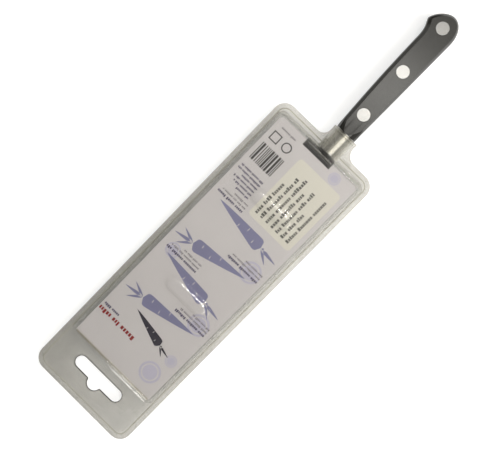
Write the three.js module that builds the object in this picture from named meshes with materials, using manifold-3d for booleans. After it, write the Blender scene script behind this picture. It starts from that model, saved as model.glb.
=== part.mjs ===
// A paring knife in the clear welded pack that it is sold in, lying on the pack's front.
// Millimetres, +Z up. +X runs from the hang tab to the butt of the handle, +Y is the cutting edge's side.
// Inside the assembly X is measured from the pack's hang edge; the assembly is then centred on X.
import * as THREE from 'three';
import { mergeVertices } from 'three/addons/utils/BufferGeometryUtils.js';
import Module from 'manifold-3d';

const wasm = await Module();
wasm.setup();

// Clearances
const FIT = 0.3;                 // between curved neighbours that are assembled together
const HEEL_CLEARANCE = 0.7;      // heel of the blade to the formed sheet around it

// Blade, bolster and tang
const BLADE_LENGTH = 87.5;       // heel to tip
const HEEL_HEIGHT = 18.6;        // spine to edge at the heel
const BLADE_SPINE = 2.2;         // thickness of the spine at the heel
const TIP_SPINE = 1.0;           // thickness of the spine at the tip
const EDGE_THICKNESS = 0.3;
const SPINE_RUN = 34;            // how far the outline leaves the heel straight
const TIP_RUN = 24;              // how far the outline is already heading for the tip
const TIP_BLUNT = 0.01;          // share of the outline's curves cut off at the blunt tip
const SPINE_DROOP = 6;           // spine over the tip's height, where it heads for the tip
const EDGE_BELLY = 7;            // edge under the tip's height, where it heads for the tip
const HEEL_LENGTH = 6.3;         // full-height part of the bolster, along the knife
const HEEL_THICKNESS = 6.6;
const HEEL_PEAK = 2;             // thickest place of the heel, from its rear
const HEEL_ROUND = 1.2;          // rounding of the heel's long edges
const BOLSTER_DIAMETER = 11.8;
const BOLSTER_WAIST = 11.2;
const COLLAR_LENGTH = 14.3;      // round part of the bolster, heel to scales
const SPINE_RISE = 0.35;         // spine of the heel to the round bolster's nearest side
const TANG_THICKNESS = 3;

// Handle
const HANDLE_LENGTH = 79.6;      // scales, from the bolster to the butt
const HANDLE_THICKNESS = 14;
const SCALE_PROUD = 0.1;         // scales over the bolster's sides, where they meet it
const FRONT_SLOPE = 9;           // length over which the handle comes down to the bolster
const SPINE_SWELL = 0.4;         // spine side of the grip below its line at the bolster
const GRIP_HEIGHT = 15;          // grip, just before the beak
const BEAK_HEIGHT = 17.8;        // spine side to the tip of the beak
const BEAK_FROM_BUTT = 9.2;
const BEAK_RUN = 11;             // length of the hollow before the beak
const BUTT_ROUND = 11;           // length of the round corner on the spine side of the butt
const BUTT_MIDDLE = 8;           // furthest point of the butt, from the spine side
const BUTT_EASE = 1;             // how much fuller the butt's round corners are than plain curves
const SCALE_BEVEL = 1.3;         // rounded edge of a scale

// Two-piece compression rivets
const RIVET_COUNT = 3;
const RIVET_HEAD = 7;
const RIVET_HEAD_THICKNESS = 1.4;
const RIVET_PIN = 2.8;
const RIVET_TUBE_WALL = 0.5;
const RIVET_END_GAP = 0.6;       // end of a rivet's shank to the other head
const FIRST_RIVET = 13.1;        // from the bolster
const LAST_RIVET = 8.3;          // from the butt
const RIVET_OFFSET = 0.2;        // first rivet from the bolster's axis, towards the edge
const RIVET_RISE = 1;            // each rivet further towards the edge than the one before

// Clear pack
const PACK_LENGTH = 192;
const PACK_WIDTH = 65.5;
const PACK_CORNER = 7;
const SHEET = 0.5;               // thickness of the formed sheet
const SIDE_BAND = 3;             // welded band along the sides
const NECK_BAND = 4.5;           // welded band at the neck end
const TAB_LENGTH = 25;           // hang edge to the pocket
const POCKET_CORNER = 3.5;
const BACK_DRAFT = 1.6;          // lean of the back pocket's walls
const FRONT_DRAFT = 2.4;         // lean of the front pocket's walls
const NECK_BEAD = 0.3;           // raised bead round the neck's mouth
const BEAD_LENGTH = 1.6;
const NECK_CONE = 3.4;           // length of the neck's inner end, where it runs out into the window
const SPINE_LIP = 1.4;           // flat lip beside the neck, spine side
const EDGE_LIP = 0.6;            // flat lip beside the neck, edge side
const SPINE_FLARE = 6;           // hollow radius from the lip to the pack's end, spine side
const EDGE_FLARE = 4.6;

// Hang slot
const SLOT_LENGTH = 32;
const SLOT_WIDTH = 7;
const SLOT_BUMP = 3.9;           // radius of the round notch towards the hang edge
const SLOT_TO_POCKET = 4.6;

// Oval bosses of the window
const BOSS_LENGTH = 29.5;
const BOSS_WIDTH = 10;
const BOSS_HEIGHT = 1.4;
const BOSS_DRAFT = 1.2;
const BOSS_OFFSET = -3.3;        // from the pack's centre line
const BOSS_FROM_TAB = 58;        // first boss from the pocket's tab end
const BOSS_FROM_NECK = 41;       // second boss from the pocket's neck end

// Card and label
const CARD_THICKNESS = 0.4;
const CARD_MARGIN = 0.8;         // card inside the window's flat
const CARD_CORNER = 2;
const NOTCH_DEPTH = 3.2;
const LABEL_LENGTH = 39.4;
const LABEL_WIDTH = 29;
const LABEL_THICKNESS = 0.15;
const LABEL_CORNER = 2;
const LABEL_FROM_NECK = 8.8;     // from the card's neck end
const LABEL_FROM_SIDE = 2.6;     // from the card's spine side

// Facets
const CORNER_STEPS = 6;
const CURVE_STEPS = 7;
const ROUND_SIDES = 24;
const RIVET_SIDES = 20;
const BLADE_SECTIONS = 18;
const HEEL_SECTIONS = 8;

// Places that follow from the sizes
const neckInner = BOLSTER_DIAMETER / 2 + FIT;
const neckOuter = neckInner + SHEET;
const beadRadius = neckOuter + NECK_BEAD;
const weldZ = Math.max(HANDLE_THICKNESS / 2, beadRadius);
const backDepth = HEEL_THICKNESS / 2 + HEEL_CLEARANCE + SHEET;
const spineY = -HEEL_HEIGHT / 2;
const neckY = spineY + SPINE_RISE + BOLSTER_DIAMETER / 2;
const pocketEnd = PACK_LENGTH - NECK_BAND;
const heelX = pocketEnd - SHEET - HEEL_CLEARANCE;
const scaleX = heelX + COLLAR_LENGTH;
const mouthX = scaleX - FIT;
const buttX = scaleX + HANDLE_LENGTH;
const edgeX = heelX - HEEL_LENGTH;
const tipX = edgeX - BLADE_LENGTH;
const rivetPitch = (HANDLE_LENGTH - FIRST_RIVET - LAST_RIVET) / (RIVET_COUNT - 1);
const slotX = TAB_LENGTH - SLOT_TO_POCKET - SLOT_WIDTH / 2;
const cutReach = 2 * weldZ;

// Solids: three.js shapes are joined and cut as closed bodies

function solid(geometry) {
  const bare = geometry.clone();
  bare.deleteAttribute('normal');
  bare.deleteAttribute('uv');
  const merged = mergeVertices(bare, 1e-4);
  const corner = merged.index.array;
  const triangles = [];
  for (let i = 0; i < corner.length; i += 3) {
    const [a, b, c] = [corner[i], corner[i + 1], corner[i + 2]];
    if (a !== b && b !== c && c !== a) triangles.push(a, b, c);
  }
  const place = merged.attributes.position.array;
  if (signedVolume(place, triangles) < 0) triangles.reverse();
  return new wasm.Manifold(new wasm.Mesh({
    numProp: 3,
    vertProperties: new Float32Array(place),
    triVerts: new Uint32Array(triangles),
  }));
}

function signedVolume(place, triangles) {
  const at = (corner) => new THREE.Vector3().fromArray(place, 3 * corner);
  let sum = 0;
  for (let i = 0; i < triangles.length; i += 3) {
    const [a, b, c] = [at(triangles[i]), at(triangles[i + 1]), at(triangles[i + 2])];
    sum += a.dot(b.cross(c));
  }
  return sum;
}

function geometryOf(body) {
  const mesh = body.getMesh();
  const geometry = new THREE.BufferGeometry();
  geometry.setAttribute('position', new THREE.BufferAttribute(mesh.vertProperties, 3));
  geometry.setIndex(new THREE.BufferAttribute(mesh.triVerts, 1));
  const faceted = geometry.toNonIndexed();
  faceted.computeVertexNormals();
  return faceted;
}

function joined(...bodies) {
  return bodies.reduce((sum, body) => sum.add(body));
}

// A closed skin through convex rings that have the same number of points
function loft(rings) {
  const count = rings[0].length;
  const place = rings.flat().flatMap((point) => point.toArray());
  const index = [];
  for (let ring = 0; ring + 1 < rings.length; ring += 1) {
    for (let i = 0; i < count; i += 1) {
      const next = (i + 1) % count;
      const [a, b] = [ring * count + i, ring * count + next];
      index.push(a, b, b + count, a, b + count, a + count);
    }
  }
  const last = (rings.length - 1) * count;
  for (let i = 1; i + 1 < count; i += 1) {
    index.push(0, i + 1, i, last, last + i, last + i + 1);
  }
  const geometry = new THREE.BufferGeometry();
  geometry.setAttribute('position', new THREE.Float32BufferAttribute(place, 3));
  geometry.setIndex(index);
  return solid(geometry);
}

// A level ring: a rectangle with round corners
function roundedRing({ x0, x1, y0, y1, radius }, z) {
  const corners = [
    [x1 - radius, y0 + radius, -Math.PI / 2],
    [x1 - radius, y1 - radius, 0],
    [x0 + radius, y1 - radius, Math.PI / 2],
    [x0 + radius, y0 + radius, Math.PI],
  ];
  return corners.flatMap(([x, y, start]) => Array.from({ length: CORNER_STEPS + 1 }, (_, i) => {
    const angle = start + (i / CORNER_STEPS) * Math.PI / 2;
    return new THREE.Vector3(x + radius * Math.cos(angle), y + radius * Math.sin(angle), z);
  }));
}

function inset({ x0, x1, y0, y1, radius }, by) {
  return { x0: x0 + by, x1: x1 - by, y0: y0 + by, y1: y1 - by, radius: Math.max(radius - by, SHEET) };
}

function plate(shape, z0, z1, curveSegments = CORNER_STEPS) {
  const geometry = new THREE.ExtrudeGeometry(shape, { depth: z1 - z0, bevelEnabled: false, curveSegments });
  return solid(geometry.translate(0, 0, z0));
}

function block(x0, x1, y0, y1, z0, z1) {
  const geometry = new THREE.BoxGeometry(x1 - x0, y1 - y0, z1 - z0);
  return solid(geometry.translate((x0 + x1) / 2, (y0 + y1) / 2, (z0 + z1) / 2));
}

// A body turned about a line along X, from [radius, x] pairs
function turnedAlongX(profile, y, z, sides) {
  const points = profile.map(([radius, x]) => new THREE.Vector2(radius, x));
  return solid(new THREE.LatheGeometry(points, sides).rotateZ(-Math.PI / 2).translate(0, y, z));
}

// A body turned about an upright line, from [radius, z] pairs
function turnedAlongZ(profile, x, y, sides) {
  const points = profile.map(([radius, z]) => new THREE.Vector2(radius, z));
  return solid(new THREE.LatheGeometry(points, sides).rotateX(Math.PI / 2).translate(x, y, 0));
}

function piece(name, body, material) {
  const mesh = new THREE.Mesh(geometryOf(body), material);
  mesh.name = name;
  return mesh;
}

// Blade, bolster and tang

// Outline of the handle, from the bolster's end face; the tang and both scales share it
function handleOutline(startX) {
  const bottom = spineY + SPINE_RISE;
  const low = bottom - SPINE_SWELL;
  const gripTop = low + GRIP_HEIGHT;
  const beakX = buttX - BEAK_FROM_BUTT;
  const beakY = low + BEAK_HEIGHT;
  const middleY = low + BUTT_MIDDLE;
  const hollowX = beakX - BEAK_RUN;
  const shape = new THREE.Shape();
  shape.moveTo(startX, bottom);
  shape.lineTo(scaleX, bottom);
  shape.quadraticCurveTo((scaleX + buttX - BUTT_ROUND) / 2, low, buttX - BUTT_ROUND, low);
  shape.bezierCurveTo(buttX - BUTT_ROUND / 2, low, buttX, (low + middleY) / 2 - BUTT_EASE, buttX, middleY);
  const shoulder = beakY - BUTT_EASE;
  shape.bezierCurveTo(buttX, middleY + BUTT_MIDDLE / 2, beakX + BEAK_FROM_BUTT / 2, shoulder, beakX, beakY);
  shape.bezierCurveTo(beakX - BEAK_RUN / 4, shoulder, beakX - BEAK_RUN / 3, gripTop, hollowX, gripTop);
  shape.quadraticCurveTo((scaleX + hollowX) / 2, gripTop - SPINE_SWELL, scaleX, bottom + BOLSTER_DIAMETER);
  shape.lineTo(startX, bottom + BOLSTER_DIAMETER);
  shape.closePath();
  return shape;
}

function rivetPlaces() {
  return Array.from({ length: RIVET_COUNT }, (_, i) => ({
    x: scaleX + FIRST_RIVET + i * rivetPitch,
    y: neckY + RIVET_OFFSET + i * RIVET_RISE,
  }));
}

const tubeOuter = RIVET_PIN / 2 + FIT + RIVET_TUBE_WALL;

function shankHoles() {
  const radius = tubeOuter + FIT;
  return joined(...rivetPlaces().map(({ x, y }) => turnedAlongZ(
    [[0, weldZ - cutReach], [radius, weldZ - cutReach], [radius, weldZ + cutReach], [0, weldZ + cutReach]],
    x, y, RIVET_SIDES,
  )));
}

function groundBlade() {
  const tipY = 0;
  const point = (x, y) => new THREE.Vector2(x, y);
  const line = (heelY, aimY) => new THREE.CubicBezierCurve(
    point(edgeX, heelY), point(edgeX - SPINE_RUN, heelY), point(tipX + TIP_RUN, aimY), point(tipX, tipY),
  );
  const spine = line(spineY, tipY - SPINE_DROOP);
  const edge = line(-spineY, tipY + EDGE_BELLY);
  const section = (x, low, high, thickness) => [
    new THREE.Vector3(x, low, weldZ - thickness / 2),
    new THREE.Vector3(x, high, weldZ - EDGE_THICKNESS / 2),
    new THREE.Vector3(x, high, weldZ + EDGE_THICKNESS / 2),
    new THREE.Vector3(x, low, weldZ + thickness / 2),
  ];
  const rings = [section(edgeX + HEEL_PEAK, spineY, -spineY, BLADE_SPINE)];
  for (let i = 0; i <= BLADE_SECTIONS; i += 1) {
    const t = (i / BLADE_SECTIONS) * (1 - TIP_BLUNT);
    const low = spine.getPoint(t);
    rings.push(section(low.x, low.y, edge.getPoint(t).y, THREE.MathUtils.lerp(BLADE_SPINE, TIP_SPINE, t)));
  }
  return loft(rings);
}

// The heel swells from the blade's thickness and rounds off again at its rear
function heel() {
  const swell = (back) => (back < HEEL_PEAK
    ? Math.sin((back / HEEL_PEAK) * Math.PI / 2)
    : (1 + Math.cos(Math.PI * (back - HEEL_PEAK) / (HEEL_LENGTH - HEEL_PEAK))) / 2);
  const rings = Array.from({ length: HEEL_SECTIONS + 1 }, (_, i) => {
    const back = (i / HEEL_SECTIONS) * HEEL_LENGTH;
    const half = BLADE_SPINE / 2 + swell(back) * (HEEL_THICKNESS - BLADE_SPINE) / 2;
    const outline = [
      [spineY, -half / 2], [spineY + HEEL_ROUND, -half], [-spineY - HEEL_ROUND, -half], [-spineY, -half / 2],
      [-spineY, half / 2], [-spineY - HEEL_ROUND, half], [spineY + HEEL_ROUND, half], [spineY, half / 2],
    ];
    return outline.map(([y, z]) => new THREE.Vector3(heelX - back, y, weldZ + z));
  });
  return loft(rings);
}

function collar() {
  const heelHalf = HEEL_THICKNESS / 2;
  const waist = BOLSTER_WAIST / 2;
  const full = BOLSTER_DIAMETER / 2;
  const start = heelX - HEEL_LENGTH / 2;
  return turnedAlongX([
    [0, start], [BLADE_SPINE, start], [heelHalf, heelX - HEEL_PEAK / 2], [(heelHalf + 2 * waist) / 3, heelX],
    [waist, heelX + HEEL_PEAK], [full, scaleX - BEAD_LENGTH], [full, scaleX], [0, scaleX],
  ], neckY, weldZ, ROUND_SIDES);
}

function bladeBody() {
  const half = TANG_THICKNESS / 2;
  const tang = plate(handleOutline(scaleX - FIT), weldZ - half, weldZ + half, CURVE_STEPS);
  return joined(groundBlade(), heel(), collar(), tang).subtract(shankHoles());
}

// Handle scales: one blank with rounded edges, split by the tang

function scaleBody(side) {
  const half = HANDLE_THICKNESS / 2;
  const blank = solid(new THREE.ExtrudeGeometry(handleOutline(scaleX), {
    depth: HANDLE_THICKNESS - 2 * SCALE_BEVEL,
    bevelThickness: SCALE_BEVEL,
    bevelSize: SCALE_BEVEL,
    bevelOffset: -SCALE_BEVEL,
    bevelSegments: 2,
    curveSegments: CURVE_STEPS,
  }).translate(0, 0, weldZ - half + SCALE_BEVEL));
  const inner = weldZ + side * TANG_THICKNESS / 2;
  const outer = weldZ + side * half;
  const past = outer + side;
  const [low, high] = [Math.min(inner, past), Math.max(inner, past)];
  const keep = block(scaleX - 1, buttX + 1, -PACK_WIDTH, PACK_WIDTH, low, high);
  const seat = outer - side * RIVET_HEAD_THICKNESS;
  const headHoles = rivetPlaces().map(({ x, y }) => {
    const radius = RIVET_HEAD / 2 + FIT;
    return turnedAlongZ(
      [[0, seat], [radius, seat], [radius, outer + side], [0, outer + side]], x, y, RIVET_SIDES,
    );
  });
  const cuts = joined(frontSlope(side), shankHoles(), ...headHoles);
  return blank.intersect(keep).subtract(cuts);
}

// Wedge that brings the scale's face down to the bolster
function frontSlope(side) {
  const wedge = new THREE.Shape();
  const low = BOLSTER_DIAMETER / 2 + SCALE_PROUD;
  const high = HANDLE_THICKNESS / 2;
  const fall = (high - low) / FRONT_SLOPE;
  wedge.moveTo(scaleX - 1, low - fall);
  wedge.lineTo(scaleX + FRONT_SLOPE, high);
  wedge.lineTo(scaleX + FRONT_SLOPE, high + 1);
  wedge.lineTo(scaleX - 1, high + 1);
  wedge.closePath();
  const geometry = new THREE.ExtrudeGeometry(wedge, { depth: PACK_WIDTH, bevelEnabled: false });
  geometry.rotateX(Math.PI / 2).translate(0, PACK_WIDTH / 2, 0).scale(1, 1, side).translate(0, 0, weldZ);
  return solid(geometry);
}

// Rivets: the stud's pin sits in the cap's tube, and both heads lie flush

function rivetStud({ x, y }) {
  const top = weldZ + HANDLE_THICKNESS / 2;
  const seat = top - RIVET_HEAD_THICKNESS;
  const pinEnd = weldZ - HANDLE_THICKNESS / 2 + RIVET_HEAD_THICKNESS + RIVET_END_GAP;
  const pin = RIVET_PIN / 2;
  const head = RIVET_HEAD / 2;
  return turnedAlongZ(
    [[0, pinEnd], [pin, pinEnd], [pin, seat], [head, seat], [head, top], [0, top]], x, y, RIVET_SIDES,
  );
}

function rivetCap({ x, y }) {
  const bottom = weldZ - HANDLE_THICKNESS / 2;
  const seat = bottom + RIVET_HEAD_THICKNESS;
  const tubeEnd = weldZ + HANDLE_THICKNESS / 2 - RIVET_HEAD_THICKNESS - RIVET_END_GAP;
  const bore = RIVET_PIN / 2 + FIT;
  const head = RIVET_HEAD / 2;
  return turnedAlongZ([
    [0, bottom], [head, bottom], [head, seat], [tubeOuter, seat], [tubeOuter, tubeEnd], [bore, tubeEnd],
    [bore, seat], [0, seat],
  ], x, y, RIVET_SIDES);
}

// Clear pack

function packOutline() {
  const side = PACK_WIDTH / 2;
  const spineLip = neckY - neckOuter - SPINE_LIP;
  const edgeLip = neckY + neckOuter + EDGE_LIP;
  const quarter = Math.PI / 2;
  const room = mouthX - BEAD_LENGTH - PACK_LENGTH;
  const spineFlare = Math.min(SPINE_FLARE, room);
  const edgeFlare = Math.min(EDGE_FLARE, room);
  const shape = new THREE.Shape();
  shape.absarc(PACK_CORNER, PACK_CORNER - side, PACK_CORNER, 2 * quarter, 3 * quarter, false);
  shape.absarc(PACK_LENGTH - PACK_CORNER, PACK_CORNER - side, PACK_CORNER, -quarter, 0, false);
  shape.absarc(PACK_LENGTH + spineFlare, spineLip - spineFlare, spineFlare, 2 * quarter, quarter, true);
  shape.lineTo(mouthX, spineLip);
  shape.lineTo(mouthX, edgeLip);
  shape.absarc(PACK_LENGTH + edgeFlare, edgeLip + edgeFlare, edgeFlare, -quarter, -2 * quarter, true);
  shape.absarc(PACK_LENGTH - PACK_CORNER, side - PACK_CORNER, PACK_CORNER, 0, quarter, false);
  shape.absarc(PACK_CORNER, side - PACK_CORNER, PACK_CORNER, quarter, 2 * quarter, false);
  shape.closePath();
  return shape;
}

function pocketFoot() {
  const half = PACK_WIDTH / 2 - SIDE_BAND;
  return { x0: TAB_LENGTH, x1: pocketEnd, y0: -half, y1: half, radius: POCKET_CORNER };
}

// A formed pocket between the weld plane and its flat, on the given side of that plane
function pocket(foot, lean, depth, side) {
  const start = weldZ - side * SHEET;
  const slope = lean / depth;
  return loft([
    roundedRing(inset(foot, -slope * SHEET), start),
    roundedRing(inset(foot, lean), weldZ + side * depth),
  ]);
}

// The neck wraps the round bolster, and its inner end runs out into the window as a cone
function neck(radius, outerEnd) {
  const coneStart = heelX - (NECK_CONE + HEEL_PEAK) / 2;
  const small = radius - neckInner + backDepth - SHEET;
  return turnedAlongX(
    [[0, coneStart], [small, coneStart], [radius, coneStart + NECK_CONE], [radius, outerEnd], [0, outerEnd]],
    neckY, weldZ, ROUND_SIDES,
  );
}

function neckBead() {
  const start = mouthX - BEAD_LENGTH;
  return turnedAlongX(
    [[0, start], [beadRadius, start], [beadRadius, mouthX], [0, mouthX]], neckY, weldZ, ROUND_SIDES,
  );
}

function bossRings(centreX, grow, bottom, top) {
  const foot = {
    x0: centreX - BOSS_WIDTH / 2 - grow,
    x1: centreX + BOSS_WIDTH / 2 + grow,
    y0: BOSS_OFFSET - BOSS_LENGTH / 2 - grow,
    y1: BOSS_OFFSET + BOSS_LENGTH / 2 + grow,
    radius: BOSS_WIDTH / 2 + grow,
  };
  return loft([roundedRing(foot, bottom), roundedRing(inset(foot, BOSS_DRAFT), top)]);
}

function hangSlot() {
  const stadium = {
    x0: slotX - SLOT_WIDTH / 2,
    x1: slotX + SLOT_WIDTH / 2,
    y0: -SLOT_LENGTH / 2,
    y1: SLOT_LENGTH / 2,
    radius: SLOT_WIDTH / 2,
  };
  const bump = turnedAlongZ(
    [[0, 0], [SLOT_BUMP, 0], [SLOT_BUMP, cutReach], [0, cutReach]], slotX - SLOT_WIDTH / 2, 0, ROUND_SIDES,
  );
  return loft([roundedRing(stadium, 0), roundedRing(stadium, cutReach)]).add(bump);
}

// One half of the pack: a flat band at the weld plane, a pocket and half the neck
function packHalf(side, depth, lean, raised, hollowed) {
  const low = Math.min(weldZ, weldZ + side * SHEET);
  const foot = pocketFoot();
  const outside = joined(
    plate(packOutline(), low, low + SHEET),
    pocket(foot, lean, depth, side),
    neck(neckOuter, mouthX),
    neckBead(),
    ...raised,
  );
  const inside = joined(
    pocket(inset(foot, SHEET), lean, depth - SHEET, side),
    neck(neckInner, mouthX + SHEET),
    ...hollowed,
  );
  const limit = weldZ + side * cutReach;
  const halfSpace = block(
    -PACK_LENGTH, 2 * PACK_LENGTH, -PACK_WIDTH, PACK_WIDTH, Math.min(weldZ, limit), Math.max(weldZ, limit),
  );
  return outside.intersect(halfSpace).subtract(inside).subtract(hangSlot());
}

function backShell() {
  const panel = weldZ + backDepth;
  const centres = [TAB_LENGTH + BOSS_FROM_TAB, pocketEnd - BOSS_FROM_NECK];
  const raised = centres.map((x) => bossRings(x, 0, panel - SHEET / 2, panel + BOSS_HEIGHT));
  const hollowed = centres.map((x) => bossRings(x, -SHEET, panel - 2 * SHEET, panel + BOSS_HEIGHT - SHEET));
  return packHalf(1, backDepth, BACK_DRAFT, raised, hollowed);
}

function frontShell() {
  return packHalf(-1, weldZ, FRONT_DRAFT, [], []);
}

// Card and label: flat pieces under the window

function cardSpace() {
  const window = inset(pocketFoot(), BACK_DRAFT + SHEET + CARD_MARGIN);
  return { ...window, radius: CARD_CORNER };
}

const cardTop = weldZ + backDepth - SHEET - FIT;

function cardBody() {
  const sheet = cardSpace();
  const reach = HEEL_HEIGHT / 2 + FIT;
  const notch = block(sheet.x1 - NOTCH_DEPTH, sheet.x1 + 1, -reach, reach, 0, cutReach);
  return loft([roundedRing(sheet, cardTop - CARD_THICKNESS), roundedRing(sheet, cardTop)]).subtract(notch);
}

function labelBody() {
  const card = cardSpace();
  const x1 = card.x1 - LABEL_FROM_NECK;
  const y0 = card.y0 + LABEL_FROM_SIDE;
  const sticker = { x0: x1 - LABEL_LENGTH, x1, y0, y1: y0 + LABEL_WIDTH, radius: LABEL_CORNER };
  return loft([roundedRing(sticker, cardTop), roundedRing(sticker, cardTop + LABEL_THICKNESS)]);
}

// Materials
const satinSteel = new THREE.MeshStandardMaterial({ color: 0xb9b7b1, roughness: 0.35, metalness: 1 });
const rivetSteel = new THREE.MeshStandardMaterial({ color: 0xe2dfd8, roughness: 0.3, metalness: 1 });
const charcoalPlastic = new THREE.MeshStandardMaterial({ color: 0x45433e, roughness: 0.45, metalness: 0 });
const clearSheet = new THREE.MeshStandardMaterial({
  color: 0xc9cbc6, roughness: 0.1, metalness: 0, transparent: true, opacity: 0.3,
});
const printedCard = new THREE.MeshStandardMaterial({ color: 0xc9c4c6, roughness: 0.7, metalness: 0 });
const creamPaper = new THREE.MeshStandardMaterial({ color: 0xd8d8c8, roughness: 0.8, metalness: 0 });

// Assembly
const knife = new THREE.Group();
knife.add(piece('blade', bladeBody(), satinSteel));
knife.add(piece('handle_scale_back', scaleBody(1), charcoalPlastic));
knife.add(piece('handle_scale_front', scaleBody(-1), charcoalPlastic));
rivetPlaces().forEach((place, i) => {
  knife.add(piece(`rivet_stud_${i + 1}`, rivetStud(place), rivetSteel));
  knife.add(piece(`rivet_cap_${i + 1}`, rivetCap(place), rivetSteel));
});

const pack = new THREE.Group();
pack.add(piece('pack_front_shell', frontShell(), clearSheet));
pack.add(piece('pack_back_shell', backShell(), clearSheet));
pack.add(piece('insert_card', cardBody(), printedCard));
pack.add(piece('label', labelBody(), creamPaper));

const assembly = new THREE.Group();
assembly.add(knife, pack);
assembly.position.x = -buttX / 2;

export default assembly;
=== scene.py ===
"""Looks of a paring knife in its clear hanging pack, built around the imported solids. Metres, +Z up."""

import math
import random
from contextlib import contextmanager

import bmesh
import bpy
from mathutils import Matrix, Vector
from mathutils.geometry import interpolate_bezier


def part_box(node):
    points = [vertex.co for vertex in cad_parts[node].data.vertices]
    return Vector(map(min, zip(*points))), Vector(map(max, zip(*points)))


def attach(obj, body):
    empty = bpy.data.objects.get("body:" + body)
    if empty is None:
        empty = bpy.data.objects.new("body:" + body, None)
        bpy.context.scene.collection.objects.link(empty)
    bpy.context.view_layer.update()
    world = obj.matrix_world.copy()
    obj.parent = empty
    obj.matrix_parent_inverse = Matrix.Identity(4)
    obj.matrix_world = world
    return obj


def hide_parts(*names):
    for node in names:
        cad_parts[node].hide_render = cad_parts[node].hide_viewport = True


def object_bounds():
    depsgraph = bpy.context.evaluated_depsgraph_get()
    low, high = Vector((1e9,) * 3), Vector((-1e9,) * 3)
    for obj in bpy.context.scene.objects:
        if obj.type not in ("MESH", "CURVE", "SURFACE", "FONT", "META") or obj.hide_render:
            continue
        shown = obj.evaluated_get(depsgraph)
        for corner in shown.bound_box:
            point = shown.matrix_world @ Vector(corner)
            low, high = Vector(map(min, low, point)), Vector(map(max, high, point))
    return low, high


bl_info = {
    "name": "Knife in a hanging pack",
    "version": (1, 0, 0),
    "blender": (4, 5, 0),
    "location": "3D View > Sidebar > Knife Pack",
    "description": "Models a riveted paring knife in its clear welded pack, with card, label and studio",
    "category": "Add Mesh",
}

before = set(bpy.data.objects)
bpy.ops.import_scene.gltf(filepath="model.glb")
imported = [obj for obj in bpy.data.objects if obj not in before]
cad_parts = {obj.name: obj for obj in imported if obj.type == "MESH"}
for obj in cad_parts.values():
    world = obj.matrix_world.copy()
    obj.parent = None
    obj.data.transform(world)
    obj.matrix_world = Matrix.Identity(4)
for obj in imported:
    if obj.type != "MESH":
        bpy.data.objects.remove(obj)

# Places that the frame gives, and the two sizes that the neck's centre line needs
MM = 0.001
BOLSTER = 11.8 * MM
SPINE_SWELL = 0.4 * MM
CAD_LOW, CAD_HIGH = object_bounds()
BACK_LOW, BACK_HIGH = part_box("pack_back_shell")
FRONT_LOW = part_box("pack_front_shell")[0]
CARD_LOW, CARD_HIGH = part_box("insert_card")
LABEL_LOW, LABEL_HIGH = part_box("label")
SCALE_LOW, SCALE_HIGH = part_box("handle_scale_back")
STUDS = [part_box(f"rivet_stud_{number}") for number in (1, 2, 3)]
HANG_X = BACK_LOW.x
MOUTH_X = BACK_HIGH.x
SIDE_Y = BACK_HIGH.y
WELD_Z = BACK_LOW.z
BOLSTER_X = SCALE_LOW.x
BUTT_X = SCALE_HIGH.x
NECK_Y = SCALE_LOW.y + SPINE_SWELL + BOLSTER / 2

# Fineness of the meshes
ROUND_SIDES = 72
CORNER_STEPS = 10
FILLET_STEPS = 5
CURVE_STEPS = 18
BLADE_STEPS = 26
HEEL_STEPS = 14
RING_STEPS = 36
ROOT_STEPS = 24
EDGE_STEPS = 4

# Small distances: where points count as one, how far joined bodies overlap, ink on paper, pack to floor
SAME_PLACE = 0.012 * MM
OVERLAP = 0.3 * MM
INK_THICKNESS = 0.02 * MM
INK_SINK = 0.01 * MM
FLOOR_GAP = 0.05 * MM

# How straight a face or an edge points along an axis, where 1 is exactly
FACING = 0.9
STRAIGHT = 0.99
LEVEL = 0.9999
ACROSS = 0.1

# Shares of a full round at which a bevel stops, so that it doesn't close on itself
FLARE_SHARE = 0.98
OVAL_SHARE = 0.999

# Places of the four materials in a half of the pack
FILM, FOLD, RIM, MILKY = range(4)

# Clear sheet: how haze and gloss grow towards a grazing view, its roughness and waves, and the share of the
# painted light over the front sheet that comes across the pack
HAZE_POWER = 2.2
GLOSS_POWER = 5
GRAZING_GLOSS = 0.9
SHEET_GLOSS = 0.04
NECK_GLOSS = 0.07
SHEET_ROUGHNESS = 0.03, 0.1
SHEET_WAVES = 0.1 * MM
SIDE_PAINTED_LIGHT = 0.33

# How far the roughness of a plain finish and of ground metal varies, and the shades of grind lines
PLAIN_PLAY = 0.08
GRIND_PLAY = 0.1
GRIND_SHADES = 0.82, 1.12

# Plain print: blocks as shares of a line's height, bars in millimetres, label lines as shares of its width
BLOCK_WIDTHS = 0.38, 0.62
BLOCK_HEIGHTS = 0.74, 0.74, 0.74, 1
BLOCK_GAP = 0.18
GROUP_GAP = 0.5
GROUP_SIZES = 3, 8
BAR_WIDTHS = 0.5, 0.5, 0.9, 1.2
BAR_GAPS = 0.45, 0.45, 0.8
LABEL_LINES = 0.95, 0.5, 0.9, 0.72, 0.92, 0.86, 0.62

# Lights in the sky and distant lamps: where each stands, and its width in degrees
SOFT_BOX = (-0.05, -0.42, 0.9), 25
OVERHEAD = (0.043, 0.0265, 1), 3
CEILING = (0.08, 0, 1), 20
SCREEN = (-0.38, -0.12, 0.92), 14
SIDE_LAMP = (0.5, 0, 0.87), 4
TAB_LAMP = (-1, -0.048, 0.03), 9
EDGE_LAMP = (0, 0.91, 0.41), 30

# Where the room's light changes: from the spine side to the edge side, and from the walls to overhead
WALL_FADE = -0.7, 0.5
ROOM_FADE = 0.3, 0.96

# The camera's sensor in millimetres, and how far it sees in metres
SENSOR_MM = 36
VIEW_REACH = 50


# Properties


def length(name, description, default):
    """A length property, in metres."""
    return bpy.props.FloatProperty(
        name=name, description=description, default=default, unit="LENGTH", subtype="DISTANCE", precision=5
    )


def angle(name, description, degrees):
    """An angle property, given in degrees."""
    return bpy.props.FloatProperty(
        name=name, description=description, default=math.radians(degrees), unit="ROTATION", subtype="ANGLE"
    )


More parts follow.
